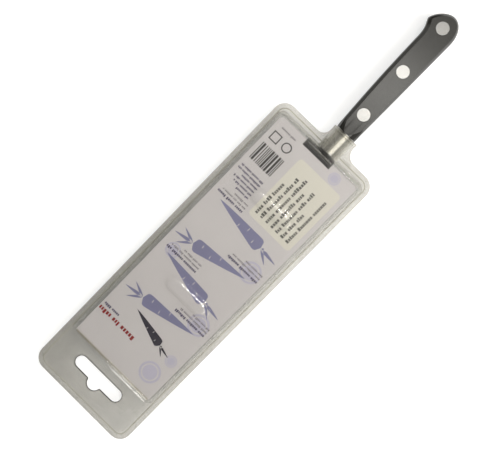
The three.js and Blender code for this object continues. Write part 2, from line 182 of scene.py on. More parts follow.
def share(name, description, default):
    """A plain number between 0 and 1."""
    return bpy.props.FloatProperty(
        name=name, description=description, default=default, min=0, max=1, subtype="FACTOR"
    )


def level(name, description, default, unit="NONE"):
    """Strength of a light."""
    return bpy.props.FloatProperty(name=name, description=description, default=default, min=0, unit=unit)


def colour(name, description, default):
    """A colour property, in linear light."""
    return bpy.props.FloatVectorProperty(
        name=name, description=description, default=default, size=3, min=0, max=1, subtype="COLOR"
    )


def position(name, description, default):
    """A place in the scene, in metres."""
    return bpy.props.FloatVectorProperty(
        name=name, description=description, default=default, subtype="TRANSLATION", unit="LENGTH"
    )


class PackSizes(bpy.types.PropertyGroup):
    """Sizes of the clear pack"""

    pack_length: length("Pack length", "Hang edge to the end beside the neck", 192 * MM)
    corner: length("Corner", "Radius of the pack's corners", 7 * MM)
    sheet: length("Sheet", "Thickness of the formed sheet", 0.5 * MM)
    tab: length("Hang tab", "Hang edge to the pocket", 25 * MM)
    side_band: length("Side band", "Welded band beside the pocket", 3 * MM)
    neck_band: length("Neck band", "Welded band at the neck end", 4.5 * MM)
    pocket_corner: length("Pocket corner", "Radius of the pocket's corners", 3.5 * MM)
    panel_rise: length("Panel rise", "Weld plane to the outside of the back panel", 4.5 * MM)
    wall_lean: angle("Wall lean", "Slope of the pocket's walls", 70)
    foot_round: length("Foot round", "Hollow radius at the foot of a wall", 0.4 * MM)
    rim_round: length("Rim round", "Radius at the top of a wall", 1.0 * MM)
    rib_pitch: length("Rib pitch", "Distance between the ribs of the weld", 1.0 * MM)
    rib_length: length("Rib length", "Width of the ribbed weld", 2.6 * MM)
    rim_ease: length("Rim ease", "Width of the eased cut rim", 0.4 * MM)
    rib_height: length("Rib height", "Height of a weld rib", 0.2 * MM)
    rib_slope: length("Rib slope", "Width of a weld rib's sloped sides", 0.1 * MM)
    groove: length("Groove", "Half the width of the groove inside the weld", 0.1 * MM)
    groove_depth: length("Groove depth", "Depth of the groove inside the weld", 0.12 * MM)
    weld_gap: length("Weld gap", "Inside of each half to the weld plane", 0.03 * MM)
    ledge: length("Ledge", "How far the ledge stands out at the pocket's tab end", 1.0 * MM)
    ledge_rise: length("Ledge rise", "Height of the ledge over the band", 1.3 * MM)
    ledge_round: length("Ledge round", "Radius at the foot and the rim of the ledge", 0.7 * MM)
    ledge_lean: angle("Ledge lean", "Slope of the ledge's front", 36)
    ridge_width: length("Ridge width", "Width of the ridge along the window's tab end", 1.4 * MM)
    ridge_rise: length("Ridge rise", "Height of the ridge over the panel", 0.35 * MM)
    ridge_from_tab: length("Ridge from tab", "Middle of the ridge from the pocket's tab end", 3.7 * MM)
    ridge_inset: length("Ridge inset", "Ends of the ridge to the pocket's sides", 3.2 * MM)
    ledge_inset: length("Ledge inset", "Ends of the ledge to the pocket's sides", 1.3 * MM)
    slot_length: length("Slot length", "Length of the hang slot", 32 * MM)
    slot_width: length("Slot width", "Width of the hang slot", 7 * MM)
    slot_notch: length("Slot notch", "Radius of the slot's round notch", 3.9 * MM)
    slot_ease: length("Slot ease", "Radius where the notch meets the slot", 1.0 * MM)
    slot_to_pocket: length("Slot to pocket", "Slot to the pocket's tab end", 4.6 * MM)
    boss_length: length("Boss length", "Length of an oval boss", 29.5 * MM)
    boss_width: length("Boss width", "Width of an oval boss", 10 * MM)
    boss_rise: length("Boss rise", "Height of an oval boss over the panel", 1.4 * MM)
    boss_lean: angle("Boss lean", "Slope of a boss's sides", 34)
    boss_foot: length("Boss foot", "Hollow radius at the foot of a boss", 0.8 * MM)
    boss_rim: length("Boss rim", "Radius at the top of a boss", 3.5 * MM)
    boss_offset: length("Boss offset", "Bosses from the pack's centre line", -3.3 * MM)
    boss_from_tab: length("Boss from tab", "First boss from the pocket's tab end", 58 * MM)
    boss_from_neck: length("Boss from neck", "Second boss from the pocket's neck end", 41 * MM)
    neck_radius: length("Neck radius", "Outside of the neck", 6.7 * MM)
    neck_cone: length("Neck cone", "Length of the neck's inner end", 3.4 * MM)
    neck_cone_start: length("Neck cone start", "Start of the neck's inner end, before the mouth", 16.7 * MM)
    bead_length: length("Bead length", "Length of the bead at the neck's mouth", 1.6 * MM)
    spine_lip: length("Spine lip", "Flat lip beside the neck, on the spine side", 1.4 * MM)
    edge_lip: length("Edge lip", "Flat lip beside the neck, on the edge side", 0.6 * MM)
    spine_flare: length("Spine flare", "Hollow radius from the lip to the end, spine side", 6 * MM)
    edge_flare: length("Edge flare", "Hollow radius from the lip to the end, edge side", 4.6 * MM)


class KnifeSizes(bpy.types.PropertyGroup):
    """Sizes of the knife"""

    blade_length: length("Blade length", "Heel to tip", 87.5 * MM)
    heel_height: length("Heel height", "Spine to edge at the heel", 18.6 * MM)
    spine: length("Spine", "Thickness of the spine at the heel", 2.2 * MM)
    tip_spine: length("Tip spine", "Thickness of the spine at the tip", 1.0 * MM)
    edge: length("Edge", "Thickness of the edge at the heel", 0.3 * MM)
    spine_run: length("Spine run", "How far the outline leaves the heel straight", 34 * MM)
    tip_run: length("Tip run", "How far the outline already heads for the tip", 24 * MM)
    spine_droop: length("Spine droop", "Spine below the tip's line, where it heads for the tip", 6 * MM)
    edge_belly: length("Edge belly", "Edge above the tip's line, where it heads for the tip", 7 * MM)
    heel_length: length("Heel length", "Full-height part of the bolster", 6.3 * MM)
    heel_thickness: length("Heel thickness", "Thickest place of the heel", 6.6 * MM)
    heel_peak: length("Heel peak", "Thickest place of the heel, from its rear", 2 * MM)
    heel_round: length("Heel round", "Rounding of the heel's long edges", 1.2 * MM)
    bolster: length("Bolster", "Diameter of the round bolster at the scales", BOLSTER)
    waist: length("Waist", "Diameter of the round bolster behind the heel", 11.2 * MM)
    collar: length("Collar", "Length of the round bolster", 14.3 * MM)
    bolster_ring: length("Bolster ring", "Straight end of the round bolster, at the scales", 1.4 * MM)
    tang: length("Tang", "Thickness of the tang", 3 * MM)
    tang_ease: length("Tang ease", "Eased edge of the tang", 0.06 * MM)
    handle: length("Handle thickness", "Thickness over both scales", 14 * MM)
    scale_chamfer: length("Scale chamfer", "Width of the chamfer round a scale's face", 1.7 * MM)
    chamfer_rise: length("Chamfer rise", "Height of the chamfer round a scale's face", 1.4 * MM)
    chamfer_shift: length("Chamfer shift", "How much wider the chamfer is on the edge side", 0.45 * MM)
    butt_shift: length("Butt shift", "How much narrower the chamfer is at the butt", 0.6 * MM)
    scale_round: length("Scale round", "Rounding outside the chamfer", 1.6 * MM)
    nose_flat: length("Nose flat", "Width of a scale's flat at the bolster", 2.0 * MM)
    nose_run: length("Nose run", "How far back the flat reaches its full width", 14 * MM)
    spine_swell: length("Spine swell", "Spine side of the grip below its line at the bolster", SPINE_SWELL)
    grip_height: length("Grip height", "Height of the grip before the beak", 15 * MM)
    beak_height: length("Beak height", "Spine side to the tip of the beak", 17.8 * MM)
    beak_from_butt: length("Beak from butt", "Tip of the beak to the butt", 9.2 * MM)
    beak_run: length("Beak run", "Length of the hollow before the beak", 11 * MM)
    butt_round: length("Butt round", "Length of the butt's round corner", 11 * MM)
    butt_middle: length("Butt middle", "Furthest point of the butt, from the spine side", 8 * MM)
    butt_ease: length("Butt ease", "How much fuller the butt's corners are than plain curves", 1 * MM)
    rivet_head: length("Rivet head", "Diameter of a rivet's head", 7 * MM)
    rivet_head_thickness: length("Rivet head thickness", "Thickness of a rivet's head", 1.4 * MM)
    rivet_pin: length("Rivet pin", "Diameter of a stud's pin", 2.8 * MM)
    rivet_tube: length("Rivet tube", "Outside of a cap's tube", 4.4 * MM)
    rivet_bore: length("Rivet bore", "Bore of a cap's tube", 3.4 * MM)
    rivet_gap: length("Rivet gap", "End of a shank to the other head", 0.6 * MM)
    rivet_edge: length("Rivet edge", "Eased edge of a rivet's head", 0.12 * MM)
    rivet_fit: length("Rivet fit", "Rivet to the hole it sits in", 0.03 * MM)


class PrintSizes(bpy.types.PropertyGroup):
    """Sizes of the card, the label and their plain print"""

    card_corner: length("Card corner", "Radius of the card's corners", 2 * MM)
    notch_depth: length("Notch depth", "Depth of the card's notch for the heel", 3.2 * MM)
    notch_half: length("Notch half", "Half the width of the card's notch", 9.6 * MM)
    notch_corner: length("Notch corner", "Radius of the notch's corners", 0.4 * MM)
    label_corner: length("Label corner", "Radius of the label's corners", 2 * MM)
    bold_line: length("Bold line", "Height of a bold line of blocks", 1.55 * MM)
    small_line: length("Small line", "Height of a small line of blocks", 1.2 * MM)
    label_line: length("Label line", "Height of a line of blocks on the label", 2.0 * MM)
    label_pitch: length("Label pitch", "Distance between the lines on the label", 3.7 * MM)
    label_margin: length("Label margin", "Bare edge of the label", 3 * MM)
    heading: length("Heading", "Height of the heading stripe", 2.6 * MM)
    root_length: length("Root length", "Length of a large printed root", 33 * MM)
    root_width: length("Root width", "Width of a large printed root", 8.2 * MM)
    leaf_length: length("Leaf length", "Length of a root's middle leaf", 11 * MM)
    slice_radius: length("Slice radius", "Radius of a pale printed slice", 6 * MM)
    bars_width: length("Bars width", "Length of the row of plain bars", 15 * MM)
    bars_height: length("Bars height", "Height of the plain bars", 11 * MM)
    small_pitch: length("Small pitch", "Distance between the small lines under a bold one", 2.1 * MM)
    list_pitch: length("List pitch", "Distance between the lines of the list", 2.2 * MM)
    square_side: length("Square side", "Side of the plain printed square", 5.4 * MM)
    ring_radius: length("Ring radius", "Radius of the plain printed ring", 2.8 * MM)


class Finishes(bpy.types.PropertyGroup):
    """Colours of the materials and haze of the sheet, with painted shade on the heel, on the folds and on the
    cut rims, and painted light over the front sheet
    """

    clear_back: colour("Back sheet", "What one face of the back sheet lets through", (0.92, 0.917, 0.91))
    # Painted shade and light: the front sheet's tint runs from the darker first colour at the hang tab's edge
    # side to the clearer second one at the spine side and the neck end, as if lit from there
    clear_front: colour("Front sheet", "What one face of the front sheet lets through", (0.68, 0.675, 0.655))
    clear_front_painted_lit: colour("Front sheet at the neck", "The same at the neck end", (0.90, 0.895, 0.88))
    clear_neck: colour("Neck", "What one face of the drawn neck lets through", (0.93, 0.92, 0.87))
    clear_edge: colour("Sheet at an angle", "What a face lets through seen edge on", (0.88, 0.88, 0.86))
    # Painted shade: grooves, beads and the ridge get a darker tint, standing in for the dark lines where the
    # sheet bends
    clear_fold_painted_dark: colour("Folded sheet", "What a groove, bead or ridge lets through", (0.80, 0.79, 0.74))
    # Painted shade: the cut rims let through almost nothing, a dark outline standing in for the dark line
    # that light bending at the cut edge gives
    clear_rim_painted_dark: colour("Cut rim", "What one face of the cut rim lets through", (0.1, 0.1, 0.09))
    haze: colour("Haze", "Haze of the sheet", (0.80, 0.79, 0.75))
    back_haze: share("Back haze", "How much of the back sheet is haze", 0.008)
    front_haze: share("Front haze", "How much of the front sheet is haze", 0.15)
    haze_grazing: share("Grazing haze", "How much haze is added where the sheet is seen edge on", 0.45)
    neck_haze: share("Neck haze", "How much of the drawn neck is haze", 0.12)
    steel: colour("Steel", "Ground steel", (0.40, 0.392, 0.375))
    # Painted shade: the heel's steel is darkened, standing in for the dark room that its polished faces
    # mirror
    heel_painted_shade: share("Heel shade", "How bright the heel is beside the rest of the steel", 0.46)
    rivet: colour("Rivet", "Rivet metal", (0.56, 0.555, 0.545))
    handle: colour("Handle", "Plastic of the scales", (0.015, 0.0145, 0.012))
    card: colour("Card", "White of the card", (0.79, 0.765, 0.79))
    label: colour("Label", "Cream paper", (0.90, 0.88, 0.81))
    ink_blue: colour("Blue ink", "Large printed shapes", (0.27, 0.27, 0.46))
    ink_dark: colour("Dark ink", "Dark printed shape", (0.018, 0.011, 0.035))
    ink_violet: colour("Violet ink", "Bold lines", (0.07, 0.05, 0.14))
    ink_grey: colour("Grey ink", "Small lines", (0.30, 0.28, 0.31))
    ink_red: colour("Red ink", "Heading", (0.33, 0.012, 0.014))
    ink_pale: colour("Pale ink", "Pale rounds behind the print", (0.66, 0.64, 0.79))
    ink_black: colour("Black ink", "Plain bars, ring and square", (0.04, 0.036, 0.04))
    ink_label: colour("Label ink", "Lines of blocks on the label", (0.12, 0.115, 0.11))


class StageSizes(bpy.types.PropertyGroup):
    """Camera, lamps and floor"""

    camera_place: position(
        "Camera place", "Where the camera stands", (63.09 * MM, -19.21 * MM, 626.86 * MM)
    )
    camera_turn: bpy.props.FloatVectorProperty(
        name="Camera turn", description="How the camera is turned", subtype="EULER", unit="ROTATION",
        default=(math.radians(-3.464), math.radians(5.8), math.radians(-45.709)),
    )
    lens: bpy.props.FloatProperty(
        name="Lens", description="Focal length in millimetres", default=86.4, unit="CAMERA"
    )
    floor: length("Floor", "Side of the square floor", 12.0)
    floor_grey: colour("Floor grey", "Colour of the floor", (0.66, 0.66, 0.66))
    key_place: position("Key place", "Where the key lamp hangs", (0.28, -0.30, 0.36))
    key_size: length("Key size", "Side of the square key lamp", 0.25)
    key_level: level("Key level", "Power of the key lamp", 1.95, "POWER")
    side_level: level("Side level", "Strength of the small lamp at the handle's end", 0.4)
    tab_level: level("Tab level", "Strength of the low lamp beyond the hang tab", 0.19)
    edge_level: level("Edge level", "Strength of the low lamp beyond the edge side", 0.08)
    box_level: level("Soft box level", "Strength of the soft box on the spine side", 3.4)
    overhead_level: level("Overhead level", "Strength of the small soft light overhead", 3.1)
    screen_level: level("Screen level", "Strength of the pale screen over the hang tab", 0.5)
    ceiling_level: level("Ceiling level", "Strength of the broad light over the handle", 0.5)
    spine_wall: level("Spine wall", "Brightness of the room on the spine side", 0.35)
    edge_wall: level("Edge wall", "Brightness of the room on the edge side", 0.14)
    room_top: level("Room top", "Brightness of the room overhead", 0.12)
    warmth: colour("Warmth", "Colour of the light", (1, 0.98, 0.93))
    floor_lift: share("Floor lift", "Light that the floor adds for the eye, which makes it white", 0.68)


# Modelling, as by hand


def clear_selection():
    """Leaves edit mode and deselects everything."""
    if bpy.context.object and bpy.context.object.mode != "OBJECT":
        bpy.ops.object.mode_set(mode="OBJECT")
    bpy.ops.object.select_all(action="DESELECT")


def only(piece):
    """Makes a piece the one that operators act on."""
    clear_selection()
    piece.select_set(True)
    bpy.context.view_layer.objects.active = piece


@contextmanager
def editing(piece, kind):
    """Edit mode on one piece, with nothing selected. kind is VERT, EDGE or FACE."""
    only(piece)
    bpy.ops.object.mode_set(mode="EDIT")
    bpy.ops.mesh.select_mode(type=kind)
    bpy.ops.mesh.select_all(action="DESELECT")
    yield
    bpy.ops.object.mode_set(mode="OBJECT")


def pick(kind, test):
    """In edit mode, selects the verts, edges or faces for which test is true, and says how many."""
    mesh = bpy.context.edit_object.data
    edit = bmesh.from_edit_mesh(mesh)
    found = [item for item in getattr(edit, kind) if test(item)]
    for item in found:
        item.select_set(True)
    bmesh.update_edit_mesh(mesh)
    return len(found)


def edge_middle(edge):
    return (edge.verts[0].co + edge.verts[1].co) / 2


def upright(edge):
    """True if an edge stands along Z."""
    step = edge.verts[1].co - edge.verts[0].co
    return abs(step.z) > STRAIGHT * step.length


def settle(piece, name):
    """Puts a new object's place into its mesh and names it."""
    piece.name = name
    bpy.ops.object.transform_apply(location=True, rotation=True, scale=True)
    return piece


def add_box(name, low, high):
    """A box between two corners."""
    clear_selection()
    low = Vector(low)
    high = Vector(high)
    bpy.ops.mesh.primitive_cube_add(size=1, location=(low + high) / 2)
    bpy.ops.transform.resize(value=high - low)
    return settle(bpy.context.object, name)


def round_uprights(piece, radius, steps, test):
    """Rounds the upright edges of a piece whose middles pass a test."""
    with editing(piece, "EDGE"):
        pick("edges", lambda edge: upright(edge) and test(edge_middle(edge)))
        bpy.ops.mesh.bevel(
            offset=radius, offset_type="OFFSET", segments=steps, affect="EDGES", clamp_overlap=True
        )


def pad(name, low, high, corner, steps):
    """A box whose upright edges are round."""
    piece = add_box(name, low, high)
    round_uprights(piece, corner, steps, lambda middle: True)
    close_up(piece)
    return piece


def raise_top(piece, steps):
    """Draws the top of a pad inwards and upwards, by (inset, rise) steps."""
    with editing(piece, "FACE"):
        top = max(vertex.co.z for vertex in piece.data.vertices)
        pick("faces", lambda face: face.calc_center_median().z > top - SAME_PLACE)
        for inset, rise in steps:
            bpy.ops.mesh.inset(thickness=inset, depth=rise, use_even_offset=True)


def formed_steps(rise, lean, foot, rim):
    """Insets and rises of a formed wall: a hollow foot, a straight wall and a round rim."""
    turns = [lean * step / FILLET_STEPS for step in range(FILLET_STEPS + 1)]
    bends = list(zip(turns, turns[1:]))

    def bend(radius, start, end):
        """Inset and rise of one step round a radius."""
        return radius * (math.sin(end) - math.sin(start)), radius * (math.cos(start) - math.cos(end))

    straight = rise - (foot + rim) * (1 - math.cos(lean))
    steps = [bend(foot, *ends) for ends in bends]
    steps.append((straight / math.tan(lean), straight))
    steps += [bend(rim, *ends) for ends in reversed(bends)]
    return steps


def turned(name, axis, centre, stations, sides=ROUND_SIDES):
    """A turned body about X or Z, from (place along the axis, radius) stations."""
    clear_selection()
    turn = (0, math.pi / 2, 0) if axis == "x" else (0, 0, 0)
    at, radius = stations[0]
    place = Vector(centre)
    setattr(place, axis, at)
    bpy.ops.mesh.primitive_circle_add(
        vertices=sides, radius=radius, fill_type="NGON", location=place, rotation=turn
    )
    piece = settle(bpy.context.object, name)
    with editing(piece, "FACE"):
        bpy.ops.mesh.select_all(action="SELECT")
        for next_at, next_radius in stations[1:]:
            before = place.copy()
            setattr(place, axis, next_at)
            draw_out(place - before, (next_radius / radius,) * 3, place)
            radius = next_radius
    close_up(piece)
    return piece


def draw_out(step, scale, centre):
    """Extrudes the selected face by a step, then scales it about a centre."""
    bpy.ops.mesh.extrude_region_move(TRANSFORM_OT_translate={"value": step})
    bpy.ops.transform.resize(value=scale, center_override=centre)


def close_up(piece):
    """Merges doubles and turns the faces outwards."""
    with editing(piece, "VERT"):
        bpy.ops.mesh.select_all(action="SELECT")
        bpy.ops.mesh.remove_doubles(threshold=SAME_PLACE)
        bpy.ops.mesh.normals_make_consistent(inside=False)


def combine(piece, tool, operation):
    """Joins, cuts or trims a piece with a tool body, which is used up."""
    only(piece)
    bpy.ops.object.modifier_add(type="BOOLEAN")
    change = piece.modifiers[-1]
    change.operation = operation
    change.solver = "EXACT"
    change.object = tool
    bpy.ops.object.modifier_apply(modifier=change.name)
    bpy.data.objects.remove(tool)


def thicken(piece, thickness):
    """Gives an open skin its wall, on the inner side, with its cut rims marked."""
    only(piece)
    bpy.ops.object.modifier_add(type="SOLIDIFY")
    wall = piece.modifiers[-1]
    wall.thickness = thickness
    wall.offset = -1
    wall.use_even_offset = True
    # The cut rims get the rims' dark tint, a painted dark outline
    wall.material_offset_rim = RIM
    bpy.ops.object.modifier_apply(modifier=wall.name)


def smooth(piece, degrees):
    """Smooth shading that keeps the edges sharper than an angle and the flats flat."""
    only(piece)
    bpy.ops.object.shade_smooth_by_angle(angle=math.radians(degrees))
    bpy.ops.object.modifier_add(type="WEIGHTED_NORMAL")
    even = piece.modifiers[-1]
    even.keep_sharp = True
    even.weight = 90
    bpy.ops.object.modifier_apply(modifier=even.name)


def copy_of(piece, name):
    """A copy with a mesh of its own."""
    only(piece)
    bpy.ops.object.duplicate(linked=False)
    made = bpy.context.object
    made.name = name
    return made


def shift(piece, step):
    """Moves a piece, with its place kept in its mesh."""
    only(piece)
    bpy.ops.transform.translate(value=step)
    bpy.ops.object.transform_apply(location=True, rotation=True, scale=True)


def arc(centre, radius, start, end, steps=2 * CORNER_STEPS):
    """Points of an arc, as flat vectors."""
    turns = [start + (end - start) * step / steps for step in range(steps + 1)]
    return [Vector(centre) + radius * Vector((math.cos(turn), math.sin(turn))) for turn in turns]


def cut_out(name, outlines, low, high):
    """A plate between two heights with drawn outlines; one outline inside another is a hole."""
    clear_selection()
    bpy.ops.curve.primitive_bezier_curve_add(location=(0, 0, (low + high) / 2))
    drawing = bpy.context.object.data
    drawing.dimensions = "2D"
    drawing.fill_mode = "BOTH"
    drawing.extrude = (high - low) / 2
    drawing.splines.clear()
    for outline in outlines:
        spline = drawing.splines.new("POLY")
        spline.points.add(len(outline) - 1)
        for point, place in zip(spline.points, outline):
            point.co = (*place, 0, 1)
        spline.use_cyclic_u = True
    bpy.ops.object.convert(target="MESH")
    piece = settle(bpy.context.object, name)
    close_up(piece)
    return piece


def give_material(number):
    """In edit mode, gives the selected faces one of the piece's materials."""
    bpy.context.object.active_material_index = number
    bpy.ops.object.material_slot_assign()


def finish_piece(piece, materials, body, slot, *nodes):
    """Gives a finished piece its materials and the body it rides on, and hides the solids it stands for."""
    if len(materials) == 1:
        piece.data.materials.clear()
        piece.data.materials.append(materials[0])
    else:
        for number, material in enumerate(materials):
            piece.data.materials[number] = material
    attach(piece, body)
    if nodes:
        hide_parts(*nodes)


# Shader nodes


def put(tree, kind, **settings):
    """Adds a node and sets its own properties."""
    made = tree.nodes.new(kind)
    for name, value in settings.items():
        setattr(made, name, value)
    return made


def fill_in(node, **values):
    """Sets plain input values by name, with underscores for spaces."""
    for name, value in values.items():
        node.inputs[name.replace("_", " ")].default_value = value


def opaque(rgb):
    """A colour with full alpha."""
    return (*rgb, 1)


def maths(tree, operation, *values):
    """A Math node over sockets or numbers."""
    made = put(tree, "ShaderNodeMath", operation=operation)
    for socket, value in zip(made.inputs, values):
        if isinstance(value, (int, float)):
            socket.default_value = value
        else:
            tree.links.new(value, socket)
    return made.outputs[0]


def new_group(name, inputs, outputs):
    """An empty node group with float inputs, given with their defaults, and float outputs."""
    group = bpy.data.node_groups.new(name, "ShaderNodeTree")
    for label, default in inputs:
        socket = group.interface.new_socket(label, in_out="INPUT", socket_type="NodeSocketFloat")
        socket.default_value = default
    for label in outputs:
        group.interface.new_socket(label, in_out="OUTPUT", socket_type="NodeSocketFloat")
    return group, put(group, "NodeGroupInput"), put(group, "NodeGroupOutput")


def cached_group(name, build):
    """A node group that is built once and shared."""
    return bpy.data.node_groups.get(name) or build(name)


def build_mottle(name):
    """Two sizes of soft cloudiness: a broad one and a fine one."""
    group, inputs, outputs = new_group(name, [("Broad", 60), ("Fine", 4000)], ["Broad", "Fine"])
    where = put(group, "ShaderNodeTexCoord")
    for label, detail in (("Broad", 3), ("Fine", 2)):
        noise = put(group, "ShaderNodeTexNoise")
        fill_in(noise, Detail=detail, Roughness=0.55)
        group.links.new(where.outputs["Object"], noise.inputs["Vector"])
        group.links.new(inputs.outputs[label], noise.inputs["Scale"])
        group.links.new(noise.outputs["Fac"], outputs.inputs[label])
    return group


def build_lines(name):
    """Fine grind lines; each input says how close the noise is along that axis."""
    group, inputs, outputs = new_group(name, [("Along X", 1), ("Along Y", 1), ("Along Z", 1)], ["Lines"])
    where = put(group, "ShaderNodeTexCoord")
    stretch = put(group, "ShaderNodeCombineXYZ")
    for number in range(3):
        group.links.new(inputs.outputs[number], stretch.inputs[number])
    scaled = put(group, "ShaderNodeVectorMath", operation="MULTIPLY")
    group.links.new(where.outputs["Object"], scaled.inputs[0])
    group.links.new(stretch.outputs[0], scaled.inputs[1])
    noise = put(group, "ShaderNodeTexNoise")
    fill_in(noise, Scale=1.0, Detail=4, Roughness=0.6)
    group.links.new(scaled.outputs[0], noise.inputs["Vector"])
    group.links.new(noise.outputs["Fac"], outputs.inputs["Lines"])
    return group


def put_group(tree, name, build, **values):
    """Places a shared group in a tree with values of its own."""
    made = put(tree, "ShaderNodeGroup", node_tree=cached_group(name, build))
    fill_in(made, **values)
    return made


def new_material(name):
    """An empty material, its node tree and its output."""
    material = bpy.data.materials.new(name)
    material.use_nodes = True
    material.node_tree.nodes.clear()
    return material, material.node_tree, put(material.node_tree, "ShaderNodeOutputMaterial")


def spread(tree, value, low, high):
    """Maps a 0 to 1 value onto a range."""
    made = put(tree, "ShaderNodeMapRange")
    fill_in(made, To_Min=low, To_Max=high)
    tree.links.new(value, made.inputs["Value"])
    return made.outputs["Result"]


def colour_sockets(sockets):
    """The colours among a Mix node's inputs or outputs."""
    return [socket for socket in sockets if socket.type == "RGBA"]


def blend_colour(tree, factor, first, second):
    """A mix of two colours by a socket."""
    made = put(tree, "ShaderNodeMix", data_type="RGBA")
    for socket, rgb in zip(colour_sockets(made.inputs), (first, second)):
        socket.default_value = opaque(rgb)
    tree.links.new(factor, made.inputs["Factor"])
    return colour_sockets(made.outputs)[0]


def mix_shaders(tree, factor, first, second):
    """A mix of two shaders by a socket."""
    made = put(tree, "ShaderNodeMixShader")
    for socket, source in zip(made.inputs, (factor, first, second)):
        tree.links.new(source, socket)
    return made.outputs[0]


def bump(tree, height, distance):
    """A Bump node over a height."""
    made = put(tree, "ShaderNodeBump")
    fill_in(made, Strength=1.0, Distance=distance)
    tree.links.new(height, made.inputs["Height"])
    return made.outputs["Normal"]


def shade(rgb, factor):
    """A colour made darker or lighter."""
    return tuple(min(1, part * factor) for part in rgb)


def build_painted_light(name):
    """Mask of the painted light over the pack: none at the hang tab's edge side, more at its spine side, full
    at the neck.
    """
    ends = [("Hang end", 0), ("Neck end", 1), ("Half width", 1)]
    group, inputs, outputs = new_group(name, ends, ["Drift"])
    where = put(group, "ShaderNodeTexCoord")
    split = put(group, "ShaderNodeSeparateXYZ")
    group.links.new(where.outputs["Object"], split.inputs[0])
    along = put(group, "ShaderNodeMapRange")
    group.links.new(split.outputs["X"], along.inputs["Value"])
    group.links.new(inputs.outputs["Hang end"], along.inputs["From Min"])
    group.links.new(inputs.outputs["Neck end"], along.inputs["From Max"])
    across = maths(group, "DIVIDE", split.outputs["Y"], inputs.outputs["Half width"])
    sideways = maths(group, "MULTIPLY_ADD", across, -SIDE_PAINTED_LIGHT, SIDE_PAINTED_LIGHT)
    total = maths(group, "ADD", maths(group, "POWER", along.outputs["Result"], 2), sideways)
    total.node.use_clamp = True
    group.links.new(total, outputs.inputs["Drift"])
    return group


def clear_film(pack, name, tints, edge_tint, haze_rgb, haze_share, grazing, gloss_level):
    """Clear formed sheet: a faint tint with painted light over it, which also changes at an angle, gloss and
    haze by angle.
    """
    material, tree, output = new_material(name)
    facing = put(tree, "ShaderNodeLayerWeight")
    fill_in(facing, Blend=0.5)
    side_on = maths(tree, "POWER", facing.outputs["Facing"], HAZE_POWER)
    glancing = maths(tree, "POWER", facing.outputs["Facing"], GLOSS_POWER)
    gloss_share = maths(tree, "MULTIPLY_ADD", glancing, GRAZING_GLOSS, gloss_level)
    clouds = put_group(tree, "soft mottle", build_mottle, Broad=55, Fine=900).outputs["Broad"]
    ends = {"Hang_end": HANG_X, "Neck_end": neck_end(pack), "Half_width": SIDE_Y}
    # Painted light: the face-on tint goes from the first tint to the second, clearer towards the neck end and
    # the spine side
    painted_light = put_group(tree, "drift over the pack", build_painted_light, **ends)
    face_on = blend_colour(tree, painted_light.outputs["Drift"], *tints)
    tint = blend_colour(tree, side_on, edge_tint, edge_tint)
    tree.links.new(face_on, colour_sockets(tint.node.inputs)[0])
    see_through = put(tree, "ShaderNodeBsdfTransparent")
    tree.links.new(tint, see_through.inputs["Color"])
    haze = put(tree, "ShaderNodeBsdfDiffuse")
    fill_in(haze, Color=opaque(haze_rgb))
    gloss = put(tree, "ShaderNodeBsdfGlossy")
    fill_in(gloss, Color=(1, 1, 1, 1))
    tree.links.new(spread(tree, clouds, *SHEET_ROUGHNESS), gloss.inputs["Roughness"])
    tree.links.new(bump(tree, clouds, SHEET_WAVES), gloss.inputs["Normal"])
    cloud = maths(tree, "MULTIPLY_ADD", side_on, grazing, spread(tree, clouds, 0, 2 * haze_share))
    hazy = mix_shaders(tree, cloud, see_through.outputs[0], haze.outputs[0])
    whole = mix_shaders(tree, gloss_share, hazy, gloss.outputs[0])
    tree.links.new(whole, output.inputs["Surface"])
    return material


def sheet_films(pack, finishes, side, tints, haze_share):
    """Materials of one half: its sheet, its folds and its cut rims, both with a darker tint that is painted
    shade, and its milky neck.
    """
    edge = finishes.clear_edge
    rim = finishes.clear_rim_painted_dark
    grazing = finishes.haze_grazing
    kinds = (
        ("film", tints, edge, haze_share, grazing, SHEET_GLOSS),
        ("folds", (finishes.clear_fold_painted_dark,) * 2, edge, haze_share, grazing, SHEET_GLOSS),
        ("rims", (rim, rim), rim, haze_share, 0, SHEET_GLOSS),
        ("neck", (finishes.clear_neck,) * 2, edge, finishes.neck_haze, grazing, NECK_GLOSS),
    )
    return [
        clear_film(pack, f"{side}_{kind}", face_on, side_on, finishes.haze, *shares)
        for kind, face_on, side_on, *shares in kinds
    ]


def plain_finish(name, rgb, roughness, broad, fine, variation, depth, metallic=0.0, shine=0.5):
    """A solid finish with mottled colour and roughness and a fine grain of a given depth."""
    material, tree, output = new_material(name)
    surface = put(tree, "ShaderNodeBsdfPrincipled")
    fill_in(surface, Metallic=metallic, Specular_IOR_Level=shine)
    clouds = put_group(tree, "soft mottle", build_mottle, Broad=broad, Fine=fine)
    tint = blend_colour(tree, clouds.outputs["Broad"], shade(rgb, 1 - variation), shade(rgb, 1 + variation))
    tree.links.new(tint, surface.inputs["Base Color"])
    rough = spread(tree, clouds.outputs["Fine"], roughness - PLAIN_PLAY, roughness + PLAIN_PLAY)
    tree.links.new(rough, surface.inputs["Roughness"])
    tree.links.new(bump(tree, clouds.outputs["Fine"], depth), surface.inputs["Normal"])
    tree.links.new(surface.outputs[0], output.inputs["Surface"])
    return material


